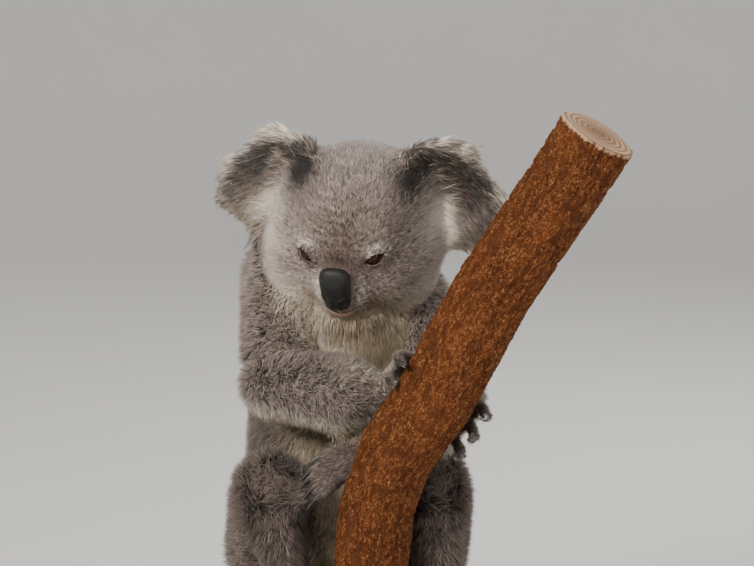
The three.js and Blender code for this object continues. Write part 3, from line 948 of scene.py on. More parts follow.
def lidRings(skinTree):
    # each eye's lids: rings round the almond, from under the margin out to beneath the coat
    steps = 60
    corners, faces, moist, soot = [], [], [], []
    for side in (-1, 1):
        centre, axes = eyeFrame(side)
        edge = almond(steps, side)
        ahead = np.roll(edge, -1, 0) - np.roll(edge, 1, 0)
        away = unit(np.stack([ahead[:, 1], -ahead[:, 0]], 1))
        for _ in range(2):
            away = unit(away + 0.5 * (np.roll(away, 1, 0) + np.roll(away, -1, 0)))
        start = len(corners)
        for out, over in lidProfile:
            spot = edge + away * out
            ball = ballHeight(spot, side)
            blend = ramp(out, 1.6, 4.6)
            for k in range(steps):
                height = ball[k] + over
                if blend > 0:
                    above = fromHead(centre + axes @ np.array([spot[k, 0], spot[k, 1], 30.0]))
                    inward = -(headAxes @ axes[:, 2])
                    hit = skinTree.ray_cast(Vector(toModel(above)), Vector(inward))[0]
                    if hit:
                        found = (toHead(toAnimal(hit)) - centre) @ axes
                        height += (found[2] + over * 0.6 - height) * blend
                        # never under the eyeball
                        if np.hypot(*spot[k]) < 10.5:
                            height = max(height, ball[k] + 0.3)
                corners.append(fromHead(centre + axes @ np.array([spot[k, 0], spot[k, 1], height])))
                inner = ramp(-edge[k, 0], 6.5, 9)
                under = ramp(-edge[k, 1], -0.6, 1.2)
                moist.append(max(0, 1 - abs(out - 0.1) / 0.9) * 0.5 * under + 0.4 * inner * (out < 1))
                soot.append(0.95 * (1 - ramp(out, 0.9, 2.2)) * (1 - 0.62 * under) + 0.4 * inner)
        for row in range(len(lidProfile) - 1):
            for k in range(steps):
                a = start + row * steps + k
                b = start + row * steps + (k + 1) % steps
                quad = [a, b, b + steps, a + steps]
                faces.append(quad if side < 0 else quad[::-1])
    return np.array(corners), np.array(faces), np.clip(moist, 0, 1), np.clip(soot, 0, 1)


halfMouth = [(0, -51.4), (6, -50.4), (12, -47.2), (16.5, -44), (20, -42.4), (24, -41.8)]
mouthLine = [(-x, z) for x, z in halfMouth[:0:-1]] + halfMouth
# Each lip: its rise over the line, how far it stands out, its thickness, its half length, how moist and
# how dark it is.
lips = {
    "upper": (0.9, 0.4, 1.2, 24, 0.2, 1.0),
    "lower": (-1.4, 1.0, 2.6, 13, 0.5, 0.0),
}


def mouthPath(skinTree, rise, forward, half):
    # a line along the mouth on the muzzle's surface
    inward = Vector(headAxes @ np.array([0.0, 1.0, 0.0]))
    path = []
    middle = 2 if half < 20 else 0
    for x in np.linspace(middle - half, middle + half, 13):
        z = np.interp(x, *np.array(mouthLine).T)
        above = fromHead(np.array([x, -110.0, z + rise]))
        hit = skinTree.ray_cast(Vector(toModel(above)), inward)[0]
        found = toHead(toAnimal(hit))
        path.append((x, found[1] - forward, z + rise))
    return smoothCurve(path, 40)


def addLips(skinTree):
    corners, faces, moist, soot = [], [], [], []
    for rise, forward, thick, half, wet, dark in lips.values():
        path = fromHead(mouthPath(skinTree, rise, forward, half))
        share = np.linspace(-1, 1, len(path))
        radii = thick * (1 - 0.5 * share**2) * np.sqrt(np.maximum(1 - share**8, 0.02))
        shape = bmesh.new()
        addTube(shape, path, radii, 10)
        bmesh.ops.recalc_face_normals(shape, faces=shape.faces[:])
        bmesh.ops.triangulate(shape, faces=[face for face in shape.faces if len(face.verts) > 4])
        start = len(corners)
        corners += [vertex.co[:] for vertex in shape.verts]
        for face in shape.faces:
            ring = [start + vertex.index for vertex in face.verts]
            faces.append(ring if len(ring) == 4 else [*ring, ring[-1]])
        moist += [wet] * len(shape.verts)
        soot += [dark] * len(shape.verts)
        shape.free()
    return np.array(corners), faces, np.array(moist), np.array(soot)


# The head's marks, in its own frame: each one's strength, centre and reach.
headMarks = {
    # the right cheek (-X) is more silver than the left: silvery fur, with painted light on the cheek the
    # light falls on
    "silver": [(0.8, (-50, -30, -14), (27, 30, 32)), (0.45, (52, -28, -10), (26, 30, 30))],
    "brown": [(0.8, (0, -62, -2), (15, 20, 17)), (0.5, (0, -52, 22), (17, 20, 20))],
    "white": [
        (1.0, (-32.5, -54, 6.6), (8.5, 10, 4.2)), (1.0, (30.5, -54, 6.6), (8.5, 10, 4.2)),
        # white fur beside the nose pad, stronger on the right (-X) side as painted light
        (1.0, (-17.2, -62, -30), (3.6, 9, 15)), (0.7, (17.2, -62, -30), (3.6, 9, 15)),
    ],
    "charcoal": [
        (1.5, (-44, -10, 50), (13, 24, 16)), (1.5, (49, -10, 50), (13, 24, 16)),
        # painted shadow: a dark line along the top edge of the nose pad, under the overhanging fur
        (0.6, (-1, -62, -1), (12, 14, 2.8)),
    ],
    "cream": [(0.7, (0, -54, -58), (24, 24, 9))],
}
# The same for the marks that both sides of the head have alike.
pairedMarks = {
    "brown": [(0.6, (17, -58, -10), (7, 12, 12)), (0.3, (44, -46, -22), (8, 16, 16))],
    "silver": [(0.5, (30, -52, -13), (10, 12, 5)), (0.45, (30, -54, -26), (13, 16, 10))],
    "stain": [(0.9, (25.5, -56, -42), (6, 10, 7.5))],
    "cream": [(0.55, (36, -40, -52), (20, 24, 16))],
}
# The pale edge down each cheek, in the head's frame, and the ruff below it, in the animal's own, with how
# white each is.
cheekEdges = {
    -1: ([
        (-80, 2, 8), (-71, -20, 4), (-67, -31, -14), (-64, -38, -29), (-55, -47, -38),
        (-41, -56, -46), (-30, -59, -52), (-14, -60, -57),
    ], 0.85),
    1: ([(80, 2, 8), (71, -20, 4), (67, -31, -14), (64, -38, -29), (55, -47, -38)], 0.5),
}
ruff = {
    -1: ([
        (-66, 20, 492), (-66, 4, 471), (-65, -9, 450), (-63, -11, 435),
        (-55, -19, 421), (-46, -32, 409), (-31, -39, 394), (-14, -38, 382),
    ], 1.1),
    1: ([(76, -16, 484), (76, -14, 440), (62, -32, 408), (40, -42, 394)], 0.8),
}
# Each part's own share of some colours; the charcoal and brown on hands and feet are partly dusky fur and
# partly painted shade.
partTones = {
    "hand": {"charcoal": 0.32, "brown": 0.3},
    "foot": {"charcoal": 0.45, "brown": 0.35},
    "upper_arm": {"silver": 0.15},
    "forearm": {"silver": 0.15},
}


def markHead(mask, local, onHead, onEar, broad):
    # crown and forehead are silvery, the bridge over the nose brown
    mask["silver"] += onHead * ramp(local[:, 2] + 5 * broad, 22, 72) * 0.75
    for marks, mirrors in ((headMarks, (1,)), (pairedMarks, (-1, 1))):
        for side in mirrors:
            for name, hills in marks.items():
                for strength, centre, reach in hills:
                    mask[name] += onHead * strength * hill(local, np.array(centre) * (side, 1, 1), reach)
    # the bright tuft under each ear, and the pale edge it leads into down the cheek
    for side, (edge, white) in cheekEdges.items():
        mask["white"] += (onHead + onEar) * 1.1 * hill(local, (67 * side, 0, 12), (14, 28, 20))
        mask["white"] += onHead * white * bell(distanceTo(smoothCurve(edge, 26), local), 11)


def markEars(mask, local, onEar, streak):
    # pale fringe round a dark hollow, with pinkish and cream patches and a white tuft at the root
    for side in sides.values():
        # measured at the tufts' tips, which lie about this far out from their roots
        spot = toEar(local, side) + (9 * side, 0, 1)
        out, ahead, up = side * spot[:, 0], spot[:, 1], spot[:, 2]
        here = onEar * (side * local[:, 0] > 0)
        rim = np.sqrt((out / 56) ** 2 + (up / 37) ** 2)
        hollow = here * (1 - ramp(ahead, 7, 11))
        dark = 1.1 * np.exp(-(((out + 9) / 25) ** 2) - ((up - 12) / 12) ** 2)
        dark = np.clip(dark + 0.42 * (1 - ramp(rim, 0.6, 0.95)), 0, 0.92)
        for name, share in (
            ("charcoal", hollow * dark * (0.8 + 0.2 * ramp(streak, -0.5, 0.8))),
            ("brown", hollow * 0.5 * ramp(streak, 0, 1.2)),
            ("pink", hollow * 0.55 * hill(spot, (-side, 2, 0), (14, 30, 8)) * ramp(streak, -0.7, 0.6)),
            ("cream", here * 0.9 * hill(spot, (-21 * side, 0, 7), (9, 30, 6))),
            ("silver", here * ramp(rim, 0.72, 0.95)),
            ("white", here * 0.95 * ramp(rim, 0.68, 0.88) * ramp(up, 2, 18)),
            ("charcoal", here * 1.1 * hill(spot, (-40 * side, 0, 6 if side < 0 else -3), (13, 30, 12))),
            ("cream", here * 0.5 * ramp(rim, 0.6, 0.9) * ramp(-up, -6, 10)),
            ("white", here * hill(spot, (6 * side, 0, -19), (15, 30, 8))),
            ("charcoal", here * 0.35 * ramp(ahead, 4, 16)),
        ):
            mask[name] += share


def markTrunk(mask, points, onTrunk, offHead, broad, streak):
    # throat, chest and belly run from cream to white; the back is plain grey with a paler, mottled rump
    x, y, z = points.T
    front = ramp(-y + 3 * broad, -46, 6)
    underside = onTrunk * front * (1 - ramp(np.abs(x - 6), 34, 66))
    # painted shade, partly darker fur: the flank under the right forearm is darkened towards charcoal
    mask["charcoal"] += onTrunk * 0.7 * hill(points, (-62, -20, 290), (40, 60, 46))
    mask["cream"] += underside * 0.95
    mask["white"] += underside * (0.35 + 0.3 * ramp(z, 330, 390)) * ramp(streak, -0.9, 0.8)
    mask["brown"] += underside * 0.35 * ramp(z, 395, 360)
    # painted shade, partly a brown stain: the throat under the chin and the right of the chest are darkened
    # towards brown, and their white is dimmed
    shadeAndStain = hill(points, (34, -36, 384), (20, 30, 22)) + 0.8 * hill(points, (6, -44, 397), (27, 24, 12))
    shadeAndStain *= offHead
    mask["stain"] += 0.3 * shadeAndStain
    mask["brown"] += 0.1 * shadeAndStain
    mask["white"] *= 1 - 0.5 * np.clip(shadeAndStain, 0, 1)
    rump = onTrunk * ramp(y, 70, 105) * ramp(-z, -215, -150)
    mask["white"] += rump * 0.95 * ramp(broad + 0.6 * streak, -0.2, 0.8)
    mask["brown"] += onTrunk * ramp(y, 40, 100) * 0.28 * ramp(broad, -0.6, 1.0)
    mask["silver"] += onTrunk * (1 - front) * 0.25 * ramp(-broad, -0.4, 1)


def markLimbs(mask, points, weights, broad):
    # silvery shoulders and forearms with a pale fringe beneath; hands, feet and knees darkened, partly
    # dusky fur and partly painted shade
    mask["silver"] += weights["upper_arm"] * 0.4 * ramp(points[:, 2], 380, 430)
    for name in ("forearm_right", "forearm_left", "upper_arm_right", "upper_arm_left"):
        start, end = bone(name)
        share = (points - start) @ unit(end - start) / np.linalg.norm(end - start)
        middle = start + np.clip(share, 0, 1)[:, None] * (end - start)
        below = unit(points - middle) @ np.array([0.0, 0.15, -1.0])
        near = weights[kindOf(name)] * bell(np.linalg.norm(points - middle, axis=1), 55, 4)
        mask["cream"] += near * ramp(below, 0.3, 0.62) * 0.85
        mask["white"] += near * bell(below - 0.55, 0.22) * 0.75
    wrist = hill(points, (20, -86, 364), (26, 26, 11)) + hill(points, (42, -98, 366), (16, 26, 12))
    mask["cream"] += 0.6 * wrist
    mask["white"] += 0.55 * wrist
    for kind, tones in partTones.items():
        for name, share in tones.items():
            mask[name] += weights[kind] * share
    mask["brown"] += (weights["upper_arm"] + weights["forearm"]) * 0.1 * ramp(broad, 0, 1)
    mask["silver"] += weights["hand"] * 0.25 * ramp(broad, -0.5, 0.8)
    # painted shade, partly darker fur: knees and shins are darkened towards brown and charcoal
    kneeFurAndShade = weights["thigh"] * ramp(-points[:, 1], 30, 80) + weights["shank"]
    mask["brown"] += kneeFurAndShade * 0.5
    mask["charcoal"] += kneeFurAndShade * 0.38


def markingsAt(points, weights):
    # every coat colour's share at each point, 0 to 1, from where it lies on the animal
    local = toHead(points)
    onHead = weights["head"] + weights["lower_jaw"]
    onEar = weights["ear"]
    mask = {name: np.zeros(len(points)) for name in markings}
    broad = ripples(points, 34, 11)
    streak = ripples(points, 11, 12)
    markHead(mask, local, onHead, onEar, broad)
    markEars(mask, local, onEar, streak)
    # the white ruff beside the cheeks, from each ear's root round to the chest
    smooth = np.zeros(len(points))
    for run, white in ruff.values():
        away = distanceTo(smoothCurve(run, 30), points)
        mask["white"] += white * bell(away, 10) * (1 - onEar) * (1 - onHead)
        mask["cream"] += 0.9 * bell(away, 13) * (1 - onHead)
        smooth = np.maximum(smooth, bell(away, 18))
    offArms = (1 - weights["forearm"]) * (1 - 0.85 * weights["upper_arm"])
    mask["cream"] += 1.1 * (1 - onHead) * hill(points, (8, -40, 386), (42, 34, 36)) * offArms
    markTrunk(mask, points, weights["trunk"] + weights["neck"], 1 - onHead, broad, streak)
    markLimbs(mask, points, weights, broad)
    return {name: np.clip(values, 0, 1) for name, values in mask.items()}, smooth


# Each kind of coat: how long a tuft is for the coat's depth there, how wide it is in mm, how far it
# strays from the lie, and how curled and ragged it is.
coatKinds = {
    "head": {"reach": 1.45, "width": 1.0, "stray": 0.5, "wool": 0.8},
    "lower_jaw": {"reach": 1.5, "width": 0.95, "stray": 0.3, "wool": 0.5},
    "ear": {"reach": 5.2, "width": 0.95, "stray": 0.22, "wool": 0.1},
    "neck": {"reach": 1.5, "width": 0.95, "stray": 0.4, "wool": 0.6},
    "trunk": {"reach": 1.6, "width": 1.0, "stray": 0.42, "wool": 0.8},
    "upper_arm": {"reach": 1.35, "width": 0.9, "stray": 0.65, "wool": 1.0},
    "forearm": {"reach": 1.35, "width": 0.85, "stray": 0.65, "wool": 1.0},
    "hand": {"reach": 1.9, "width": 0.85, "stray": 0.2, "wool": 0.2},
    "thigh": {"reach": 1.6, "width": 1.0, "stray": 0.45, "wool": 0.8},
    "shank": {"reach": 1.6, "width": 0.95, "stray": 0.42, "wool": 0.6},
    "foot": {"reach": 1.9, "width": 0.85, "stray": 0.2, "wool": 0.2},
}


# How the coat lies, in mm and radians: how far hair may stand up from the skin on the ears and elsewhere,
# the ears' own length and lift, how much smaller tufts get round nose and eyes, and how the lift follows
# from the coat's depth.
coatLay = {
    "stand": {"ear": 0.95, "body": 0.22},
    "shortest": 0.6,
    "earLength": 12.5,
    "earFringe": 3.5,
    "earTuft": 6,
    "earEdge": 5,
    "smaller": {"width": 0.42, "length": 0.18},
    "noseReach": (26, 70),
    "depthShare": 0.9,
    "lift": (0.12, 0.68),
    "earLift": 0.2,
    "armLift": 0.25,
    "eyeReach": 4.5,
    "eyeLift": 0.45,
    "eyeLength": 0.4,
    "calm": {"wool": 0.65, "throat": 0.75},
    "bareMouth": (2.4, 11.5),
    "room": (1.0, 5.0),
}


def lieOfCoat(points, nodes):
    # which way the hair points at each vertex before it is laid on the skin
    local = toHead(points)
    lie = np.zeros_like(points)
    down = np.array([0.0, 0.0, -1.0])
    for name in np.unique(nodes):
        here = nodes == name
        kind = kindOf(name)
        if kind in ("head", "lower_jaw"):
            away = unit((local[here] - (0, -62, -28)) * (1.0, 0.6, 1.0))
            behind = ramp(local[here, 1], -6, 52)[:, None]
            back = np.array([0, 0.35, -1.5])
            lie[here] = (away * (1 - 0.75 * behind) + back * behind) @ headAxes.T
        elif kind == "ear":
            side = 1 if name.endswith("left") else -1
            spot = toEar(local[here], side)
            away = unit(spot - (-56 * side, 0, 2)) + np.array([0.3 * side, 0, -0.05])
            lie[here] = (unit(away) @ earFrame(side)[0].T) @ headAxes.T
        elif kind == "neck":
            lie[here] = (0, 0.1, -1)
        elif kind == "trunk":
            outward = unit((points[here] - (2, 40, 0)) * (1, 1, 0))
            lie[here] = down + 0.25 * outward + (0, 0.1, 0)
        else:
            start, end = bone(name)
            onward = unit(points[here] - end) if kind in ("hand", "foot") else 0.35 * down
            lie[here] = onward + unit(end - start) * (0.8 if kind in ("hand", "foot") else 1)
    return unit(lie)


def coatFields(mesh, points, pairs, nodes, depth):
    # every quantity of the coat at each of the skin's vertices
    normals = vertexNormals(mesh)
    kinds = kindsOf(nodes)
    weights = {kind: relaxed(kinds == kind, pairs, 10) for kind in coatKinds}
    standing = weights["ear"] * coatLay["stand"]["ear"] + (1 - weights["ear"]) * coatLay["stand"]["body"]
    raw = unit(relaxed(lieOfCoat(points, nodes), pairs, 16))
    flat = unit(inSurface(unit(relaxed(inSurface(raw, normals), pairs, 8)), normals))
    upward = np.maximum((raw * normals).sum(1), 0) * standing
    lie = flat * np.sqrt(np.clip(1 - upward**2, 0.02, 1))[:, None] + normals * upward[:, None]
    lie = unit(lie)
    blend = {
        key: sum(weights[kind] * style[key] for kind, style in coatKinds.items())
        for key in ("reach", "width", "stray", "wool")
    }
    throat = ramp(-points[:, 1], 0, 30) * weights["trunk"] * ramp(points[:, 2], 300, 350)
    blend["wool"] = blend["wool"] * (1 - coatLay["calm"]["throat"] * throat)
    length = depth * blend["reach"] + coatLay["shortest"]
    length = np.where(weights["ear"] > 0.5, coatLay["earLength"], length)
    width = blend["width"]
    local = toHead(points)
    onHead = weights["head"] + weights["lower_jaw"]
    # smallest round the nose, mouth and eyes
    fromNose = np.linalg.norm(local - (0, -64, -30), axis=1)
    small = onHead * (1 - ramp(fromNose, *coatLay["noseReach"]))
    for side in (-1, 1):
        small = np.maximum(small, onHead * hill(local, (28 * side, -52, -2), (19, 19, 15)))
    width *= 1 - coatLay["smaller"]["width"] * small
    length *= 1 - coatLay["smaller"]["length"] * small
    # ears: longest at the upper fringe and the white tuft at the root
    for side in sides.values():
        spot = toEar(local, side)
        here = weights["ear"] * (side * local[:, 0] > 0)
        out, up = side * spot[:, 0], spot[:, 2]
        rim = np.sqrt((out / 50) ** 2 + (up / 33) ** 2)
        fringe = coatLay["earFringe"] * ramp(rim, 0.75, 1.0) * ramp(out, -24, 12)
        tuft = coatLay["earTuft"] * hill(spot, (4 * side, 0, -19), (18, 30, 11))
        length += here * (fringe + tuft)
        length -= here * coatLay["earEdge"] * ramp(spot[:, 1], 8, 14)
    steep = coatLay["depthShare"] * depth / np.maximum(length, 1)
    raised = np.arcsin(np.clip(steep, *coatLay["lift"]))
    raised *= 1 + coatLay["armLift"] * (weights["upper_arm"] + weights["forearm"]) * (1 - throat)
    raised = np.where(weights["ear"] > 0.4, coatLay["earLift"], raised)
    # round each eye the coat turns away from it and lies lower
    for side in (-1, 1):
        spot, gap = toEye(local, side)
        outward = unit(spot * (1, 1.5, 0)) @ eyeFrame(side)[1].T @ headAxes.T
        turnAway = inSurface(outward, normals)
        near = ((spot[:, 2] > eye["behind"]) * bell(np.maximum(gap, 0), coatLay["eyeReach"]))[:, None]
        lie = unit(lie * (1 - near) + unit(turnAway) * near)
        raised = raised * (1 - coatLay["eyeLift"] * near[:, 0])
        length *= 1 - coatLay["eyeLength"] * near[:, 0]
    # bare under the nose pad and along the middle of the mouth
    line = smoothCurve([(x, 0, z - 0.6) for x, z in mouthLine], 40)[:, [0, 2]]
    tall, half = coatLay["bareMouth"]
    atMouth = (distanceTo(line, local[:, ::2]) < tall) & (np.abs(local[:, 0] - 2) < half)
    bare = np.maximum(nosePadGap(local) < 0.4, onHead * (local[:, 1] < -45) * atMouth)
    room = roomAbove(points, normals, weights["ear"] > 0.4)
    masks, smooth = markingsAt(points, weights)
    # the pale ruff is soft and straight
    straight = 1 - coatLay["calm"]["wool"] * smooth
    fields = {
        "point": points,
        "normal": normals,
        "lie": lie,
        "length": length,
        "width": width,
        "lift": raised,
        "room": room,
        "stray": blend["stray"] * straight,
        "wool": blend["wool"] * straight,
        "calm": np.clip(np.maximum(smooth, throat), 0, 1),
        "density": (1 - bare) * ramp(room, *coatLay["room"]) / np.maximum(width, 0.5) ** 2,
    }
    return fields | {name: relaxed(values, pairs, 1) for name, values in masks.items()}


def roomAbove(points, normals, thin):
    # the free distance over each vertex, up to 24 mm, to the perch and, save for thin parts, to the body
    limb = bpy.data.objects["bark_limb"]
    solids = bpy.data.meshes["koala_skin"]  # the flesh nodes' copy, as it was before remeshing
    tree = treeOf([limb.data, solids])
    barkTree = BVHTree.FromObject(limb, bpy.context.evaluated_depsgraph_get())
    starts = toModel(points + normals * 0.6)
    room = np.full(len(points), 24.0)
    for i, (start, heading) in enumerate(zip(starts.tolist(), normals.tolist())):
        distance = (barkTree if thin[i] else tree).ray_cast(start, heading, 0.024)[3]
        if distance is not None:
            room[i] = distance * 1000
    # within the perch: the skin pressed against it has no coat
    for i in np.nonzero((points[:, 1] < 0) | (points[:, 2] < 200))[0]:
        place = Vector(toModel(points[i]))
        spot, normal = barkTree.find_nearest(place, 0.02)[:2]
        if spot and (place - spot).dot(normal) < 0.0015:
            room[i] = 0
    return room


def nosePadGap(local):
    # how far outside the nose pad's outline each point lies, in mm, seen from the front
    across = local[:, 0] + 1
    up = local[:, 2] + 25
    share = (np.abs(across / (13 * (1 + 0.005 * up))) ** 3.2 + np.abs(up / 19.5) ** 3.2) ** (1 / 3.2)
    return np.where(local[:, 1] < -45, (share - 1) * 14, 30)


# Each coat piece: how many tufts it has and how each tuft is built.
coatPieces = {
    "fur_face": {"tufts": 47000, "build": "short"},
    "fur_crown": {"tufts": 45000, "build": "short"},
    "fur_ear_right": {"tufts": 22000, "build": "bent"},
    "fur_ear_left": {"tufts": 22000, "build": "bent"},
    "fur_chest": {"tufts": 48000, "build": "short"},
    "fur_back": {"tufts": 48500, "build": "short"},
    "fur_arms": {"tufts": 49000, "build": "short"},
    "fur_legs": {"tufts": 48500, "build": "short"},
    "fur_paws": {"tufts": 24000, "build": "short"},
}
coatSeed = 5150
patchWidth = 0.0032


def pieceOfFaces(points, faces, kinds):
    # the coat piece each face of the skin belongs to
    centre = points[faces].mean(1)
    kind = kinds[faces[:, 0]]
    local = toHead(centre)
    piece = np.full(len(faces), "fur_back", object)
    head = np.isin(kind, ["head", "lower_jaw"])
    piece[head] = "fur_face"
    piece[head & (local[:, 1] > -12)] = "fur_crown"
    piece[kind == "neck"] = "fur_crown"
    piece[kind == "ear"] = "fur_ear_right"
    piece[(kind == "ear") & (local[:, 0] > 0)] = "fur_ear_left"
    piece[(kind == "trunk") & (centre[:, 1] < 30)] = "fur_chest"
    piece[np.isin(kind, ["upper_arm", "forearm"])] = "fur_arms"
    piece[np.isin(kind, ["thigh", "shank"])] = "fur_legs"
    piece[np.isin(kind, ["hand", "foot"])] = "fur_paws"
    return piece


def unwrapped(points, quads):
    # an unwrap of these faces' own shape, filling the map
    used, inverse = np.unique(quads, return_inverse=True)
    mesh = bpy.data.meshes.new("unwrap")
    mesh.from_pydata(toModel(points[used]).tolist(), [], inverse.reshape(-1, 4).tolist())
    holder = putInScene("unwrap", mesh)
    bpy.context.view_layer.objects.active = holder
    holder.select_set(True)
    mesh.uv_layers.new(name="unwrap")
    bpy.ops.object.mode_set(mode="EDIT")
    bpy.ops.mesh.select_all(action="SELECT")
    bpy.ops.uv.smart_project(angle_limit=math.radians(66), island_margin=0.004)
    bpy.ops.object.mode_set(mode="OBJECT")
    spots = readVectors(mesh.uv_layers[0].uv, "vector", 2).reshape(-1, 4, 2)
    bpy.data.objects.remove(holder)
    low, high = spots.min((0, 1)), spots.max((0, 1))
    return 0.02 + 0.96 * (spots - low) / (high - low)


# One tuft of each build: the faces between its corners, each corner's place on its patch of the map, and
# how far along the tuft it is. One is a plain closed spike, the other has a raised back.
tufts = {
    "short": {
        "faces": [(0, 2, 1), (0, 1, 3), (1, 2, 3), (2, 0, 3)],
        "patch": [(-0.5, -0.5), (0.5, -0.5), (0.0, 0.05), (0.0, 0.5)],
        "along": [0, 0, 0, 1],
    },
    "bent": {
        "faces": [(0, 2, 1), (0, 1, 4), (1, 2, 3), (2, 0, 3), (1, 3, 4), (3, 0, 4)],
        "patch": [(-0.5, -0.5), (0.5, -0.5), (0.0, -0.15), (0.05, 0.2), (-0.05, 0.5)],
        "along": [0, 0, 0, 0.5, 1],
    },
}


# How much tufts differ from one another, how deep in mm and by what share of its length each is rooted, and
# how far the light falls on them as on the body beneath.
tuftLook = {
    "rise": 0.18,
    "length": 0.16,
    "width": 0.22,
    "tone": 0.17,
    "mark": 0.55,
    "curl": 0.35,
    "root": (0.9, 0.2),
    "slender": 0.3,
    "least": 1.2,
    "steepest": 1.2,
    "bodyLight": 0.55,
}


def rootsOf(name, quads, fields, rng):
    # the places of a piece's roots: the skin's corners round each, their shares, and its spot on the map
    count = coatPieces[name]["tufts"] // 1
    spots = unwrapped(fields["point"], quads)
    faces = np.concatenate([quads[:, [0, 1, 2]], quads[:, [0, 2, 3]]])
    spots = np.concatenate([spots[:, [0, 1, 2]], spots[:, [0, 2, 3]]])
    corner = fields["point"][faces]
    edges = np.cross(corner[:, 1] - corner[:, 0], corner[:, 2] - corner[:, 0])
    area = 0.5 * np.linalg.norm(edges, axis=1)
    share = np.cumsum(area * fields["density"][faces].mean(1))
    chosen = np.searchsorted(share, (np.arange(count) + rng.random(count)) / count * share[-1])
    chosen = np.minimum(chosen, len(faces) - 1)
    root, fraction = np.sqrt(rng.random(count)), rng.random(count)
    blend = np.stack([1 - root, root * (1 - fraction), root * fraction], 1)[:, :, None]
    point = (corner[chosen] * blend).sum(1)
    free = np.ones(count, bool)
    for side in (-1, 1):
        spot, gap = toEye(toHead(point), side)
        free &= (spot[:, 2] <= eye["behind"]) | (gap >= 0.75)
    chosen, blend = chosen[free], blend[free]
    return faces[chosen], blend, (spots[chosen] * blend).sum(1)


def onLids(sunk, normal, sink):
    # beside the eyes the roots stand on the lids
    for side in (-1, 1):
        spot, gap = toEye(toHead(sunk), side)
        lid = ballHeight(spot[:, :2], side) + lidOver(gap) - 0.1
        near = (spot[:, 2] > eye["behind"]) * (1 - ramp(gap, 4.0, 8.0))
        ahead = headAxes @ eyeFrame(side)[1][:, 2]
        sunk = sunk + normal * (near * (sink + 0.4))[:, None]
        sunk += (np.maximum(lid - spot[:, 2], 0) * (near > 0.3))[:, None] * ahead
    return sunk


def makeCoatPiece(name, quads, fields, seed, material):
    build = coatPieces[name]["build"]
    tuft = tufts[build]
    rng = np.random.default_rng(seed)
    face, blend, map2d = rootsOf(name, quads, fields, rng)
    count = len(face)

    def at(key):
        values = fields[key][face]
        return (values * (blend if values.ndim == 3 else blend[:, :, 0])).sum(1)

    point, normal, lie = at("point"), unit(at("normal")), unit(at("lie"))
    wool, stray = at("wool"), at("stray")
    side = unit(np.cross(lie, normal))
    # locks lean together in small groups, and each strays a little by itself
    lean = ripples(point, 5.5, seed + 1) * (0.5 + 0.6 * wool) + ripples(point, 17, seed + 2) * 0.4
    tilt = ripples(point, 4.8, seed + 3)
    sway = stray * (0.85 * lean + (0.25 + 0.15 * wool) * rng.normal(size=count)) * (1 + 0.7 * wool)
    rise = at("lift") * (1 + 0.42 * wool * tilt + tuftLook["rise"] * rng.normal(size=count))
    rise = np.clip(rise, 0.03, tuftLook["steepest"])
    heading = unit(lie + side * sway[:, None])
    heading = unit(heading * np.cos(rise)[:, None] + normal * np.sin(rise)[:, None])
    side = unit(np.cross(heading, normal))
    back = np.cross(side, heading)
    length = at("length") * (1 + tuftLook["length"] * rng.normal(size=count))
    length = np.maximum(length * (1 + 0.1 * ripples(point, 9, seed + 4)), tuftLook["least"])
    room = np.maximum(0.9 * at("room") / np.maximum(np.sin(rise), 0.25), 1.5)
    length = np.minimum(length, room)
    width = at("width") * np.exp(tuftLook["width"] * rng.normal(size=count))
    width = np.minimum(width, tuftLook["slender"] * length)
    deepest, share = tuftLook["root"]
    sink = np.minimum(deepest, share * length)
    sunk = onLids(point - normal * sink[:, None], normal, sink)
    thick = 0.5 * width[:, None]
    long = length[:, None]
    roots = [sunk - side * thick, sunk + side * thick, sunk + back * thick]
    droop = (0.1 + 0.12 * wool)[:, None] * long
    curl = (stray * rng.normal(size=count) * tuftLook["curl"])[:, None] * long
    if build == "short":
        places = [*roots, sunk + heading * long]
    else:
        ridge = sunk + heading * long * 0.52 + back * (thick * 0.75 + droop * 0.55)
        places = [*roots, ridge, sunk + heading * long - back * droop * 0.5 + side * curl * 0.6]
    places = np.stack(places, 1)
    corners = places.shape[1]
    pattern = np.array(tuft["faces"])[:, ::-1]
    around = (np.arange(count)[:, None, None] * corners + pattern[None]).reshape(-1, 3)
    mesh = bpy.data.meshes.new(name)
    mesh.vertices.add(count * corners)
    mesh.vertices.foreach_set("co", packed(toModel(places.reshape(-1, 3))))
    mesh.loops.add(around.size)
    mesh.loops.foreach_set("vertex_index", around.astype(np.int32).ravel())
    mesh.polygons.add(len(around))
    mesh.polygons.foreach_set("loop_start", np.arange(0, around.size, 3, dtype=np.int32))
    layer = mesh.uv_layers.new(name="OFBake")
    patch = map2d[:, None, :] + np.array(tuft["patch"])[None] * patchWidth
    layer.uv.foreach_set("vector", packed(patch.reshape(-1, 2)[around.ravel()]))
    mesh.update(calc_edges=True)
    # its own tone: grizzled between neighbours, gathered a little into flecks
    calm = at("calm")
    flecks = (0.09 + 0.27 * wool) * (1 - 0.6 * calm) * ripples(point, 3.4, seed + 5)
    tone = 0.5 + tuftLook["tone"] * (1 - 0.65 * calm) * rng.normal(size=count) + flecks
    tone = np.clip(tone + 0.05 * ripples(point, 28, seed + 6), 0.02, 1)
    storeNumbers(mesh, "shade", np.repeat(tone, corners))
    storeNumbers(mesh, "along", np.tile(tuft["along"], count))
    for marking in markings:
        value = at(marking)
        own = value + (tuftLook["mark"] - 0.4 * calm) * ((rng.random(count) < value) - value)
        storeNumbers(mesh, marking, np.repeat(own, corners))
    mesh.shade_smooth()
    addObject(name, mesh, material)
    softenNormals(mesh, np.repeat(normal, corners, 0), tuftLook["bodyLight"])
    print(name, len(around), "triangles")


def softenNormals(mesh, bodyNormals, share):
    # the light falls on the tufts partly as on the body beneath them
    own = vertexNormals(mesh)
    agree = ramp((own * bodyNormals).sum(1), -0.25, 0.6)[:, None] * share
    mixed = unit(own * (1 - agree) + bodyNormals * agree)
    mesh.normals_split_custom_set_from_vertices(mixed.astype(np.float32))


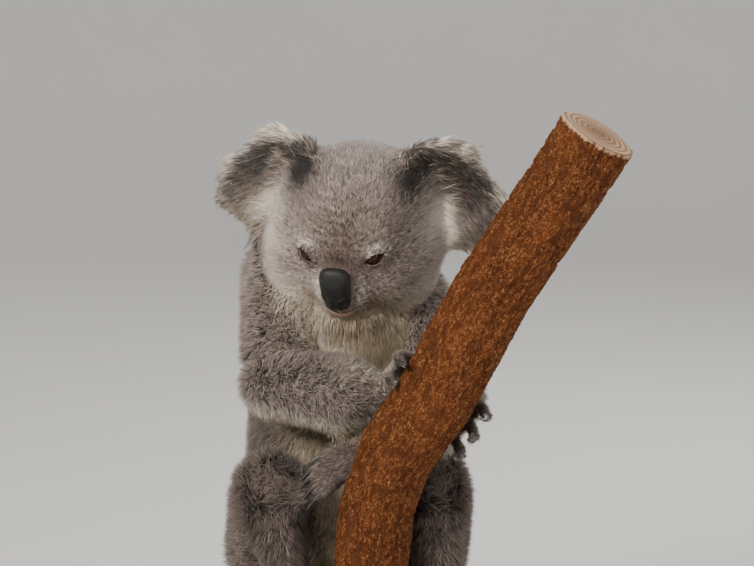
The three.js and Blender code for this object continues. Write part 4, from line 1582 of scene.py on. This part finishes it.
def makeSkinAndCoat():
    mesh, points, pairs, nodes, depth = makeSkinForm()
    points = settleEyes(points)
    setPlaces(mesh, toModel(points))
    print("skin shaped", len(mesh.polygons), "faces")
    fields = coatFields(mesh, points, pairs, nodes, depth)
    print("coat laid out")
    around = readWholes(mesh.loops, "vertex_index")
    starts = readWholes(mesh.polygons, "loop_start")
    four = readWholes(mesh.polygons, "loop_total") == 4
    quads = around[starts[four][:, None] + np.arange(4)]
    pieces = pieceOfFaces(points, quads, kindsOf(nodes))
    material = makeCoatMaterial()
    for number, name in enumerate(coatPieces):
        makeCoatPiece(name, quads[pieces == name], fields, coatSeed + 40 * number, material)
    # the skin itself, with its lids and lips
    skinTree = BVHTree.FromPolygons(toModel(points).tolist(), quads.tolist())
    places, faces = points, quads.tolist()
    moist = soot = np.zeros(len(points))
    for extra, extraFaces, wet, dark in (lidRings(skinTree), addLips(skinTree)):
        faces += [list(dict.fromkeys(int(len(places) + i) for i in face)) for face in extraFaces]
        places = np.concatenate([places, extra])
        moist = np.concatenate([moist, wet])
        soot = np.concatenate([soot, dark])
    skin = bpy.data.meshes.new("koala_body")
    skin.from_pydata(toModel(places).tolist(), [], faces)
    skin.materials.append(makeSkinMaterial())
    skin.materials.append(makeBareSkinMaterial())
    slots = (np.arange(len(faces)) >= len(quads)).astype(np.int32)
    skin.polygons.foreach_set("material_index", slots)
    storeNumbers(skin, "moist", moist)
    storeNumbers(skin, "soot", soot)
    for marking in markings:
        storeNumbers(skin, marking, np.pad(fields[marking], (0, len(places) - len(points))))
    skin.shade_smooth()
    bpy.data.meshes.remove(mesh)
    addObject("koala_body", skin, None, fleshNodes)
    print("skin", len(skin.polygons), "faces")


def setShape(shape, places, name):
    # the head's own places given to a ball's vertices
    for vertex, spot in zip(shape.verts, toModel(fromHead(places)).tolist()):
        vertex.co = spot
    return meshFrom(shape, name)


def roundBall(segments, rings):
    shape = bmesh.new()
    bmesh.ops.create_uvsphere(shape, u_segments=segments, v_segments=rings, radius=1)
    return shape, np.array([vertex.co[:] for vertex in shape.verts])


def makeEyes():
    material = makeEyeMaterial()
    for name, side in sides.items():
        centre, axes = eyeFrame(side, slanted=False)
        shape, local = roundBall(64, 40)
        # it looks a little towards the nose
        turned = local @ np.array(Matrix.Rotation(math.radians(eye["gaze"]), 3, "Y")).T
        reach = np.hypot(turned[:, 0], turned[:, 1])
        bulge = np.where(turned[:, 2] > 0, corneaRise(reach), 0)
        placed = local * (eye["radius"] + bulge)[:, None]
        mesh = setShape(shape, placed @ axes.T + centre, f"eyeball_{name}")
        away = np.where(turned[:, 2] > 0, reach, 2 - reach)
        storeVectors(mesh, "eyePlace", np.column_stack([turned[:, :2], away]))
        spokes = turned[:, :2] / np.maximum(reach, 0.02)[:, None]
        storeVectors(mesh, "eyeSpokes", np.column_stack([spokes, 0.25 * away]))
        addObject(f"eyeball_{name}", mesh, material, [f"eye_{name}"])
    print("eyes made")


noseForm = {
    "half": (13, 8, 22.0),
    "power": 0.6,
    "lean": 15,
    "at": (-1, -69, -24.0),
    "nostril": [(6.0, -10.5), (7.8, -12.6), (9.6, -12.4), (10.9, -10.2)],
    "nostrilDepth": 4.8,
    "rim": {"at": (8.6, -8.0), "half": (5.2, 4.2), "height": 0.8},
    "groove": {"half": 1.1, "depth": 0.9},
    "swell": {"at": 7, "half": (9, 8), "height": 0.7},
}


def makeNose():
    shape, points = roundBall(120, 90)
    soft = np.sign(points) * np.abs(points) ** noseForm["power"]
    form = np.stack([soft[:, 0] * (1 + 0.13 * soft[:, 2]), points[:, 1], soft[:, 2]], 1)
    placed = form * noseForm["half"]
    front = placed[:, 1] < 0
    x, z = placed[:, 0], placed[:, 2]
    # nostrils: commas low on either side, opening outward, with a groove between them
    rim, groove, swell = (noseForm[key] for key in ("rim", "groove", "swell"))
    for side in (-1, 1):
        run = smoothCurve([(side * u, v, 0) for u, v in noseForm["nostril"]], 12)
        away = np.full(len(placed), 99.0)
        for k, (u, v, _) in enumerate(run):
            wide = 1.5 + 0.9 * math.sin(math.pi * k / 12)
            away = np.minimum(away, np.hypot(x - u, z - v) / wide)
        placed[:, 1] += front * noseForm["nostrilDepth"] * bell(away, 1, 2.4)
        u, v = rim["at"]
        ridge = np.hypot((x - u * side) / rim["half"][0], (z - v) / rim["half"][1])
        placed[:, 1] -= front * rim["height"] * np.exp(-((ridge - 0.6) ** 2) / 0.12)
    placed[:, 1] += front * groove["depth"] * bell(x, groove["half"]) * ramp(-z, 4, 14)
    wide, tall = swell["half"]
    placed[:, 1] -= front * swell["height"] * bell(x, wide) * bell(z - swell["at"], tall)
    turn = np.array(Matrix.Rotation(math.radians(noseForm["lean"]), 3, "X"))
    mesh = setShape(shape, placed @ turn.T + noseForm["at"], "nose_pad")
    addObject("nose_pad", mesh, makeNoseMaterial(), ["nose"])
    print("nose made")


# Claws, in mm. Each group of digits that curls round the limb: its number, the lowest one's height and the
# step between them, the angles they run between, and how much the lowest climbs and each next one more.
claw = {
    "digit": 8.5,
    "length": 17.0,
    "grip": 35.0,
    "thick": 3.3,
    "rightHand": [(3, 327, 11, 180, 75, -3, 3), (2, 340, 14, 210, 285, 3, 5)],
    "feet": [
        (4, 126, 12.5, -76, -36, -4, 2), (1, 142, 0, -118, -158, 8, 0),
        (4, 114, 12.5, 76, 36, -4, 2), (1, 130, 0, 118, 158, 8, 0),
    ],
    "leftHand": {"centre": (4, -80, 284), "bend": (-0.4, 0.2, -1.0)},
}


def curledDigit(height, start, end, climb):
    # the last joint of a digit round the limb, its end, and the way its claw bends
    points = [
        besideLimb(height + climb * k / 3, start + (end - start) * k / 3, claw["grip"] + claw["digit"])
        for k in range(4)
    ]
    inward = unit(besideLimb(height + climb, end, 0) - points[3])
    return points[2], points[3], inward


def curledDigits(groups):
    return [
        curledDigit(height + rise * k, start, end, climb + more * k)
        for count, height, rise, start, end, climb, more in groups
        for k in range(count)
    ]


def clawPlaces():
    spread = []
    hand = {key: np.array(value, float) for key, value in claw["leftHand"].items()}
    for off in range(-2, 3):
        shorter = 3 * abs(off)
        knuckle = hand["centre"] + (-22 + shorter, -6, -5 - 7.5 * off)
        end = hand["centre"] + (-29 + shorter, -7, -9 - 8 * off)
        spread.append((knuckle, end, unit(hand["bend"])))
    return curledDigits(claw["rightHand"]) + spread + curledDigits(claw["feet"])


def makeClaws():
    shape = bmesh.new()
    tips = []
    long = claw["length"]
    for knuckle, end, bend in clawPlaces():
        onward = unit(end - knuckle)
        # how far along and how far bent each point of its middle line is
        line = [(-4.0, 0), (2.5, 0.2), (long * 0.5, long * 0.08), (long * 0.85, long * 0.35)]
        path = smoothCurve([end + onward * out + bend * aside for out, aside in line], 14)
        share = np.linspace(0, 1, 15)
        radii = claw["thick"] * (1 - share**1.6) ** 0.85 + 0.18
        side = unit(np.cross(onward, bend))
        for step, ring in enumerate(addTube(shape, path, radii, 14)):
            tips += [share[step]] * len(ring)
            for vertex in ring:
                offset = np.array(vertex.co) - path[step]
                vertex.co = path[step] + offset - side * (offset @ side) * 0.38
    for vertex in shape.verts:
        vertex.co = Vector(toModel(vertex.co))
    mesh = meshFrom(shape, "claws")
    storeNumbers(mesh, "tip", np.array(tips))
    addObject("claws", mesh, makeClawMaterial())
    print("claws made")


studio = {
    "floor": 3.4,
    "sweep": 1.6,
    "wall": 5.0,
    "sky": (0.9, 0.885, 0.865, 1),
    "skyStrength": 0.74,
    # each light: its place, its power, its size and its colour
    "lights": {
        "key": ((-1.25, -1.9, 1.6), 60, 0.6, (1.0, 0.955, 0.9)),
        "fill": ((1.6, -1.8, 0.9), 15, 1.4, (1.0, 0.97, 0.94)),
        "rim": ((0.9, 1.5, 1.8), 24, 1.0, (1.0, 0.98, 0.95)),
    },
    "lightAim": (0, 0, 0.38),
    "camera": (-0.018, -2.3726, 0.8379),
    "cameraAim": (0.0092, -0.0017, 0.4635),
    "lens": 134.8,
}


def pointAt(holder, spot, aim):
    holder.location = spot
    holder.rotation_euler = (Vector(aim) - Vector(spot)).to_track_quat("-Z", "Y").to_euler()


def makeStudio():
    # a round floor whose edge sweeps up into a backdrop all the way round
    flat, sweep, wall = studio["floor"], studio["sweep"], studio["wall"]
    bend = [
        (flat + sweep * math.sin(a), sweep - sweep * math.cos(a)) for a in np.radians(range(10, 91, 10))
    ]
    shape = turnedShape([(0, 0), (1.5, 0), (flat, 0), *bend, (wall, wall)], 72, 1e-5)
    mesh = meshFrom(shape, "studio_floor")
    material, tree, shader = startMaterial("paleFloor", Roughness=0.85)
    speckle = addNoise(tree, objectPlace(tree), 3, 3)
    paint(tree, shader, addMix(tree, speckle, (0.74, 0.74, 0.73), (0.78, 0.78, 0.77)))
    mesh.materials.append(material)
    floor = putInScene("studio_floor", mesh)
    world = bpy.data.worlds.new("studio")
    bpy.context.scene.world = world
    world.use_nodes = True
    sky = world.node_tree.nodes["Background"].inputs
    sky["Color"].default_value = studio["sky"]
    sky["Strength"].default_value = studio["skyStrength"]
    for name, (spot, power, size, colour) in studio["lights"].items():
        light = bpy.data.lights.new(name, "AREA")
        light.energy, light.size, light.color = power, size, colour
        pointAt(putInScene(name, light), spot, studio["lightAim"])
    lens = bpy.data.cameras.new("camera")
    lens.lens, lens.sensor_width = studio["lens"], 36
    camera = putInScene("camera", lens)
    pointAt(camera, studio["camera"], studio["cameraAim"])
    bpy.context.scene.camera = camera


makePerch()
makeStand()
makeSkinAndCoat()
makeEyes()
makeNose()
makeClaws()
makeStudio()

print("done")
